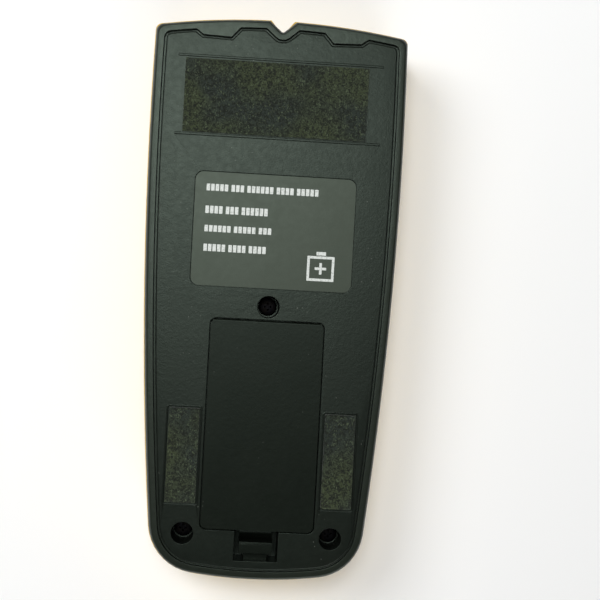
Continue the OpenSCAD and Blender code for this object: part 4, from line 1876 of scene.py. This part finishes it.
@dataclass
class Capacitors:
    """Two sleeved cans with vented tops, and two columns of small ceramic blocks."""

    cans: tuple[tuple[float, float], ...] = ((23 * MM, 14 * MM), (23 * MM, 24 * MM))
    block_x: tuple[float, ...] = (-26 * MM, -22 * MM)
    block_y: tuple[float, ...] = (22 * MM, 28 * MM, 34 * MM)
    can_r: float = 2.5 * MM
    sleeve_t: float = 0.45 * MM
    vent: Point = (2.6 * MM, 0.14 * MM, 0.26 * MM)
    block_size: Point = (1.44 * MM, 2.2 * MM, 0.95 * MM)
    cap_size: Point = (1.6 * MM, 0.45 * MM, 1.0 * MM)
    cap_off: float = 1.275 * MM

    def build(self) -> None:
        """Make the sleeves, the can tops, the blocks and their end caps."""
        low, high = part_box("board_capacitors")
        board, height, r = low.z, high.z - low.z, self.can_r
        rim, top = r - self.sleeve_t, height - 0.16 * MM
        sleeve = [
            (r - 0.2 * MM, 0), (r, 0.2 * MM), (r, 0.9 * MM), (r - 0.18 * MM, 1.15 * MM),
            (r, 1.4 * MM), (r, height - 0.3 * MM), (r - 0.12 * MM, height - 0.06 * MM), (rim, height),
            (rim, 0), (r - 0.2 * MM, 0),
        ]
        can = [
            (0, 0.1 * MM), (rim, 0.1 * MM), (rim, height - 0.05 * MM), (rim - 0.2 * MM, top), (0, top),
        ]
        sleeves, tops = [], []
        for x, y in self.cans:
            sleeves.append(turned("sleeve", sleeve, (x, y, board), steps=36))
            lid = turned("can", can, (x, y, board), steps=36)
            for turn in (0, 90):
                cut(lid, self.vent_blade((x, y, board), height, turn))
            tops.append(lid)
        assembled("can_sleeves", sleeves, "capacitor_blue", CAN_SLEEVE, "board_capacitors")
        assembled("can_tops", tops, "switch_metal", SOLDER)
        self.blocks(board)

    def vent_blade(self, at: Point, height: float, turn: float) -> Object:
        """What cuts one line of the cross that is pressed into a can's top.

        Args:
            at: The foot of the can.
            height: Height of the can.
            turn: Direction of the line, in degrees.

        Returns:
            The blade.
        """
        length, width, depth = self.vent
        blade = slab("blade", (-length / 2, -width / 2, height - depth),
                     (length / 2, width / 2, height + MM))
        blade.data.transform(Matrix.Translation(at) @ Matrix.Rotation(math.radians(turn), 4, "Z"))
        return blade

    def blocks(self, board: float) -> None:
        """Ceramic blocks that lie flat, each with a plated cap at both ends.

        Args:
            board: Height of the board's face.
        """
        bodies, caps = [], []
        for x in self.block_x:
            for y in self.block_y:
                bodies.append(self.brick("block", x, y, board + 0.03 * MM, board, self.block_size))
                caps += [
                    self.brick("cap", x, y + side * self.cap_off, board, board, self.cap_size)
                    for side in (-1, 1)
                ]
        assembled("ceramic_blocks", bodies, "capacitor_blue", CERAMIC, edge=0.1 * MM)
        assembled("ceramic_block_caps", caps, "switch_metal", SOLDER, edge=0.1 * MM)

    def brick(self, name: str, x: float, y: float, foot: float, board: float, size: Point) -> Object:
        """A small block round a place on the board, as high as its size over the board.

        Args:
            name: The block's name.
            x: Its middle.
            y: Its middle.
            foot: Height of its underside.
            board: Height of the board's face.
            size: Its width, length and height over the board.

        Returns:
            The block.
        """
        half_x, half_y = size[0] / 2, size[1] / 2
        return slab(name, (x - half_x, y - half_y, foot), (x + half_x, y + half_y, board + size[2]))


@dataclass
class Buzzer:
    """Round sounder with a ledge and a hole in its top."""

    hole_r: float = 1.0 * MM
    hole_depth: float = 3.0 * MM

    def build(self) -> None:
        """Turn the housing."""
        low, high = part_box("buzzer")
        r, height = (high.x - low.x) / 2, high.z - low.z
        hole, floor = self.hole_r, height - self.hole_depth
        profile = [
            (0, floor), (hole, floor), (hole, height - 0.2 * MM), (hole + 0.2 * MM, height),
            (r - 1.3 * MM, height), (r - 1.1 * MM, height - 0.3 * MM), (r - 0.5 * MM, height - 0.3 * MM),
            (r - 0.1 * MM, height - 0.6 * MM), (r, height - 1.0 * MM), (r, 0.25 * MM),
            (r - 0.2 * MM, 0), (0, 0),
        ]
        at = centred(low, high, low.z)
        piece = turned("buzzer_housing", profile, at, steps=64)
        shade(piece, 30)
        settle(piece, Body.CASE, "chip_black", CHIP_EPOXY, "buzzer")


@dataclass
class SensingCoil:
    """White bobbin, its winding of enamelled wire, and the coil's two leads."""

    wire_d: float = 0.3 * MM
    groove: float = 5.0 * MM
    hub: float = 1.5 * MM
    wall: float = 1.0 * MM

    def build(self) -> None:
        """Turn the bobbin and the winding, and draw the leads to the board."""
        low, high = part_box("coil_bobbin")
        at = centred(low, high, low.z)
        wind_low, wind_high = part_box("coil_winding")
        outer, height = (high.x - low.x) / 2, high.z - low.z
        core, wall = outer - self.groove, self.wall
        inner = core - self.hub
        bobbin = turned("coil_bobbin_spool", [
            (inner, 0), (outer, 0), (outer, wall), (core, wall), (core, height - wall),
            (outer, height - wall), (outer, height), (inner, height), (inner, 0),
        ], at, steps=96)
        soften(bobbin, 0.15 * MM)
        settle(bobbin, Body.CASE, "white_plastic", WHITE_PLASTIC, "coil_bobbin")
        rim = (wind_high.x - wind_low.x) / 2
        winding = self.winding(at, core + 0.05 * MM, rim, wind_low.z - low.z, wind_high.z - low.z)
        settle(winding, Body.CASE, "copper", COPPER_WIRE, "coil_winding")
        leads = wire_from("coil_leads", "coil_lead_pair")
        settle(leads, Body.CASE, "copper", COPPER_WIRE, "coil_leads")

    def winding(self, at: Point, inner: float, outer: float, z0: float, z1: float) -> Object:
        """The wound turns, with a round for each wire of the outer layer.

        Args:
            at: Foot of the coil's axis.
            inner: Inner radius.
            outer: Outer radius.
            z0: Lower end, from the foot.
            z1: Upper end, from the foot.

        Returns:
            The winding.
        """
        turns = round((z1 - z0) / self.wire_d)
        pitch, r = (z1 - z0) / turns, self.wire_d / 2
        profile = [(inner, z0), (outer - r, z0)]
        for k in range(turns):
            middle = z0 + (k + 0.5) * pitch
            profile += [
                (outer - r + r * math.cos(a), middle + pitch / 2 * math.sin(a))
                for a in (-1.1, -0.55, 0, 0.55, 1.1)
            ]
        profile += [(outer - r, z1), (inner, z1), (inner, z0)]
        piece = turned("coil_winding_turns", profile, at, steps=96)
        shade(piece, 60)
        return piece


def wire_from(node: str, name: str) -> Object:
    """A CAD wire, smoothed along its run.

    Args:
        node: The CAD wire.
        name: The new piece's name.

    Returns:
        The smoothed wire.
    """
    piece = moulded_from(node, name, whole=False)
    apply_modifier(piece, "SUBSURF", levels=1, render_levels=1)
    shade(piece, 50, keep_flat=False)
    return piece


@dataclass
class SolderJoints:
    """Small cones of solder where wires meet the main board."""

    lead_spots: tuple[tuple[float, float], ...] = ((9.5 * MM, 3.0 * MM), (12.5 * MM, 3.0 * MM))
    coil_spots: tuple[tuple[float, float], ...] = ((-1.5 * MM, 35.5 * MM), (1.5 * MM, 35.5 * MM))
    lead_r: float = 1.3 * MM
    coil_r: float = 0.7 * MM
    sink: float = 0.02 * MM

    def cone(self, x: float, y: float, face: float, r: float) -> Object:
        """One joint of a radius, at a place on the board's face.

        Args:
            x: Middle of the joint.
            y: Middle of the joint.
            face: Height of the board's face.
            r: Its radius.

        Returns:
            The joint.
        """
        profile = [
            (0, -self.sink), (r, -self.sink), (r, 0.05 * MM), (r * 0.75, r * 0.3),
            (r * 0.58, r * 0.75), (0, r * 0.8),
        ]
        return turned("joint", profile, (x, y, face), steps=24)

    def build(self) -> None:
        """One cone on the board's face at the end of each wire."""
        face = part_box("main_board")[1].z
        cones = [self.cone(x, y, face, self.lead_r) for x, y in self.lead_spots]
        cones += [self.cone(x, y, face, self.coil_r) for x, y in self.coil_spots]
        piece = joined("solder_joints", cones)
        shade(piece, 50)
        settle(piece, Body.CASE, "switch_metal", SOLDER)


# ---------- the battery ----------


@dataclass
class Battery:
    """9 V block battery with rolled rims, snap terminals, snap cap, leads and foam."""

    rim: float = 0.7 * MM
    sink: float = 0.45 * MM
    stud_r: float = 2.85 * MM
    socket_r: float = 3.9 * MM
    slit_w: float = 0.5 * MM
    sign_x: float = 6.35 * MM
    sign_y: float = 5.5 * MM
    sign_arm: float = 1.6 * MM
    sign_half: float = 0.3 * MM
    ink_h: float = 0.03 * MM
    sleeve_r: float = 1.25 * MM
    sleeve_h: float = 1.5 * MM
    sleeves: tuple[tuple[float, float], ...] = ((2 * MM, 22 * MM), (5 * MM, 19 * MM))

    def build(self) -> None:
        """Make the battery and all that holds and joins it."""
        settle(self.jacket(), Body.CASE, "battery_jacket", JACKET, "battery")
        settle(self.signs(), Body.CASE, "battery_jacket", PALE_INK)
        settle(self.terminals(), Body.CASE, "switch_metal", NICKEL, "battery_terminals")
        cap = moulded_from("battery_snap", "battery_snap_cap")
        soften(cap, 0.55 * MM, 4)
        cap = joined("battery_snap_cap", [cap, *self.lead_sleeves()])
        settle(cap, Body.CASE, "snap_plastic", SNAP_VINYL, "battery_snap")
        for node, slot, finish in (("lead_red", "red_insulation", RED_VINYL),
                                   ("lead_black", "black_insulation", BLACK_VINYL)):
            settle(wire_from(node, f"{node}_wire"), Body.CASE, slot, finish, node)
        remoulded("battery_pad", "battery_foam_pad", 0.18 * MM, "foam", FOAM, segments=3)

    def jacket(self) -> Object:
        """The block, with a rolled rim round each sunk end.

        Returns:
            The block.
        """
        piece = moulded_from("battery", "battery_block")
        with editing(piece):
            pick_faces(piece, facing(y=1, both=True))
            bpy.ops.mesh.inset(thickness=self.rim, depth=0, use_individual=True)
            bpy.ops.mesh.inset(thickness=0.15 * MM, depth=-self.sink, use_individual=True)
        soften(piece, 0.2 * MM, 3)
        return piece

    def signs(self) -> Object:
        """A printed plus by the stud and a printed minus by the socket.

        Returns:
            The signs as one mesh.
        """
        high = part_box("battery")[1]
        x, y, top = self.sign_x, high.y - self.sign_y, high.z
        arm, half, ink = self.sign_arm, self.sign_half, self.ink_h
        bars = [(-x, arm, half, ink), (-x, half, arm, ink * 1.2), (x, arm, half, ink)]
        return joined("battery_signs", [
            slab("sign", (cx - w, y - h, top - t), (cx + w, y + h, top + t), half / 2, 2)
            for cx, w, h, t in bars
        ])

    def terminals(self) -> Object:
        """The waisted stud and the slotted socket, on the end by the notch.

        Returns:
            Both as one mesh.
        """
        low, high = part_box("battery_terminals")
        z, y, h = (low.z + high.z) / 2, low.y - self.sink, high.y - low.y + self.sink
        r, ring = self.stud_r, self.socket_r
        stud = turned("stud", [
            (0, 0), (r, 0), (r, self.sink + 0.25 * MM), (r * 0.82, self.sink + 0.5 * MM),
            (r * 0.8, h * 0.62), (r * 0.97, h * 0.76), (r * 0.97, h * 0.88), (r * 0.8, h), (0, h),
        ], (low.x + r, y, z), Axis.TO_NOTCH, 40)
        socket = turned("socket", [
            (0, 0), (ring, 0), (ring, self.sink + 0.3 * MM), (ring * 0.86, self.sink + 0.55 * MM),
            (ring * 0.88, h * 0.7), (ring, h * 0.88), (ring * 0.93, h), (ring * 0.80, h * 0.95),
            (ring * 0.75, h * 0.7), (ring * 0.75, self.sink + 0.6 * MM), (0, self.sink + 0.6 * MM),
        ], (high.x - ring, y, z), Axis.TO_NOTCH, 48)
        centre = Vector((high.x - ring, y, z))
        for turn in (0, 60, 120):
            blade = slab("slit", (-ring * 1.2, self.sink + 0.8 * MM, -self.slit_w / 2),
                         (ring * 1.2, h + MM, self.slit_w / 2))
            blade.data.transform(Matrix.Translation(centre) @ Matrix.Rotation(math.radians(turn), 4, "Y"))
            cut(socket, blade)
        piece = joined("battery_terminal_pair", [stud, socket])
        shade(piece, 40)
        return piece

    def lead_sleeves(self) -> list[Object]:
        """Short moulded sleeves where the leads leave the snap cap.

        Returns:
            One sleeve for each lead.
        """
        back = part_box("battery_snap")[1].y
        r, h, sink = self.sleeve_r, self.sleeve_h, 0.3 * MM
        profile = [(0, -sink), (r * 1.25, -sink), (r * 1.25, 0), (r, 0.35 * MM), (r * 0.85, h), (0, h)]
        return [turned("sleeve", profile, (x, back, z), Axis.TO_NOTCH, 24) for x, z in self.sleeves]


# ---------- the studio ----------


@dataclass(frozen=True)
class Lamp:
    """A soft light that points at the tool: a square near it, or a wide glow from far away."""

    name: str
    at: Point
    power: float
    size: tuple[float, float] = (0.4, 0.4)
    far_angle: float = 0.0

    def light(self) -> None:
        """Hang the light."""
        if self.far_angle:
            data = bpy.data.lights.new(self.name, "SUN")
            data.angle = self.far_angle
        else:
            data = bpy.data.lights.new(self.name, "AREA")
            data.shape = "RECTANGLE"
            data.size, data.size_y = self.size
        data.energy = self.power
        light = stand(self.name, data)
        turn = (-Vector(self.at)).to_track_quat("-Z", "Y").to_matrix().to_4x4()
        light.matrix_world = Matrix.Translation(self.at) @ turn


@dataclass
class Studio:
    """Camera, pale floor and three soft lights."""

    eye: Point = (-9.82 * MM, 4.01 * MM, 381.03 * MM)
    target: Point = (9.10 * MM, 0.82 * MM, 30.0 * MM)
    roll: float = math.radians(3.11)
    lens_mm: float = 72.0
    sensor_mm: float = 36.0
    horizon: tuple[float, Colour] = (0.02, (0.80, 0.81, 0.81))
    zenith: tuple[float, Colour] = (0.45, (0.035, 0.035, 0.035))
    floor_size: float = 12.0
    glow_span: tuple[float, float] = (0.22, 1.3)
    glow: float = 0.74
    lamps: tuple[Lamp, ...] = (
        Lamp("overhead_light", (-0.07, 0.20, 1.0), 5.0, size=(0.30, 0.32)),
        Lamp("key_light", (-0.42, 0.30, 0.65), 3.4),
        Lamp("fill_light", (0.20, -0.85, 0.34), 1.6, far_angle=math.radians(45)),
    )

    def camera(self) -> None:
        """Set the camera over the back of the tool."""
        data = bpy.data.cameras.new("camera")
        data.lens = self.lens_mm
        data.sensor_width = self.sensor_mm
        data.dof.use_dof = False
        data.clip_start = 0.01
        camera = stand("camera", data)
        back = (Vector(self.eye) - Vector(self.target)).normalized()
        right = Vector((0, 1, 0)).cross(back).normalized()
        level = Matrix((right, back.cross(right), back)).transposed().to_4x4()
        roll = Matrix.Rotation(self.roll, 4, "Z")
        camera.matrix_world = Matrix.Translation(self.eye) @ level @ roll
        bpy.context.scene.camera = camera

    def floor(self) -> None:
        """Lay a pale floor under the tool, lit from within where the lamps don't reach."""
        deselect()
        bpy.ops.mesh.primitive_plane_add(size=self.floor_size)
        floor = bpy.context.object
        floor.name = "floor"
        graph = Graph("pale_floor")
        tone = graph.span(graph.noise(0.3, 2), 0.3, 0.7)
        away = graph.node("ShaderNodeVectorMath", operation="LENGTH")
        graph.join(graph.place, away.inputs[0])
        floor.data.materials.append(graph.dress(
            Base_Color=graph.blend(tone, (0.90, 0.905, 0.90), (0.92, 0.922, 0.918)),
            Roughness=0.75,
            Specular_IOR_Level=0.2,
            Emission_Color=(0.97, 0.98, 0.975),
            Emission_Strength=graph.span(away.outputs["Value"], *self.glow_span, 0.0, self.glow),
        ))

    def surroundings(self) -> None:
        """Pale round the horizon and dark overhead."""
        world = bpy.data.worlds.new("studio")
        world.use_nodes = True
        tree = world.node_tree
        tree.nodes.clear()
        place = tree.nodes.new("ShaderNodeTexCoord")
        parts = tree.nodes.new("ShaderNodeSeparateXYZ")
        ramp = tree.nodes.new("ShaderNodeValToRGB")
        back = tree.nodes.new("ShaderNodeBackground")
        output = tree.nodes.new("ShaderNodeOutputWorld")
        for stop, (height, colour) in zip(ramp.color_ramp.elements, (self.horizon, self.zenith)):
            stop.position = height
            stop.color = (*colour, 1)
        tree.links.new(place.outputs["Generated"], parts.inputs[0])
        tree.links.new(parts.outputs[2], ramp.inputs[0])
        tree.links.new(ramp.outputs[0], back.inputs["Color"])
        tree.links.new(back.outputs[0], output.inputs["Surface"])
        bpy.context.scene.world = world

    def build(self) -> None:
        """Set up everything but the camera."""
        self.floor()
        for lamp in self.lamps:
            lamp.light()
        self.surroundings()
        bpy.context.scene.view_settings.view_transform = "Standard"


def screw_sets() -> list[CrossScrews]:
    """The screws of the case, at the places of the CAD screws.

    Returns:
        The sets of the case and of both boards.
    """
    low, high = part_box("case_screws")
    head_d, head_h, shank_d = 5.4 * MM, 2.0 * MM, 2.8 * MM
    seat = high.z - head_h
    upper = (0.0, high.y - head_d / 2, seat)
    lower = [(side * (high.x - head_d / 2), low.y + head_d / 2, seat) for side in (-1, 1)]
    return [
        CrossScrews("case_screws", "case_screw_set", head_d, head_h, shank_d, seat - low.z,
                    1.1 * MM, [upper, *lower], slot="screw_black", finish=SCREW_BLACK),
        board_set("board_screws", "board_screw_set", Axis.UP),
        board_set("sensor_screws", "sensor_screw_set", Axis.DOWN),
    ]


def board_set(node: str, name: str, axis: Axis) -> CrossScrews:
    """The four small screws at a board's corners.

    Args:
        node: The CAD screws.
        name: The new piece's name.
        axis: Which way their heads point.

    Returns:
        The set.
    """
    low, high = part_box(node)
    head_d, head_h, shank_d = 3.8 * MM, 1.2 * MM, 1.7 * MM
    up = axis is Axis.UP
    seat = high.z - head_h if up else low.z + head_h
    length = seat - low.z if up else high.z - seat
    r = head_d / 2
    places = [(x, y, seat) for x in (low.x + r, high.x - r) for y in (low.y + r, high.y - r)]
    return CrossScrews(node, name, head_d, head_h, shank_d, length, 0.6 * MM, places, axis)


def main() -> None:
    """Build the tool and the studio, piece by piece."""
    logging.basicConfig(level=logging.INFO, format="%(name)s: %(message)s")
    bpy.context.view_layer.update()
    studio = Studio()
    studio.camera()
    CaseShells().build()
    BatteryDoor().build()
    for node, fibres, seed in (("wide_felt_pad", 2600, 3), ("left_felt_pad", 620, 5),
                               ("right_felt_pad", 620, 8)):
        FeltPad(node, fibres, seed).build()
    RatingLabel().build()
    for screws in screw_sets():
        screws.build()
    for sub_assembly in (
        FrontPanel(), Display(),
        ModeKey("key_stud", Body.STUD_KEY), ModeKey("key_metal", Body.METAL_KEY),
        ModeKey("key_wire", Body.WIRE_KEY), KeySwitches(),
        Boards(), Chips(), Capacitors(), Buzzer(), SensingCoil(), SolderJoints(), Battery(),
    ):
        sub_assembly.build()
    studio.build()


if __name__ == "__main__":
    main()
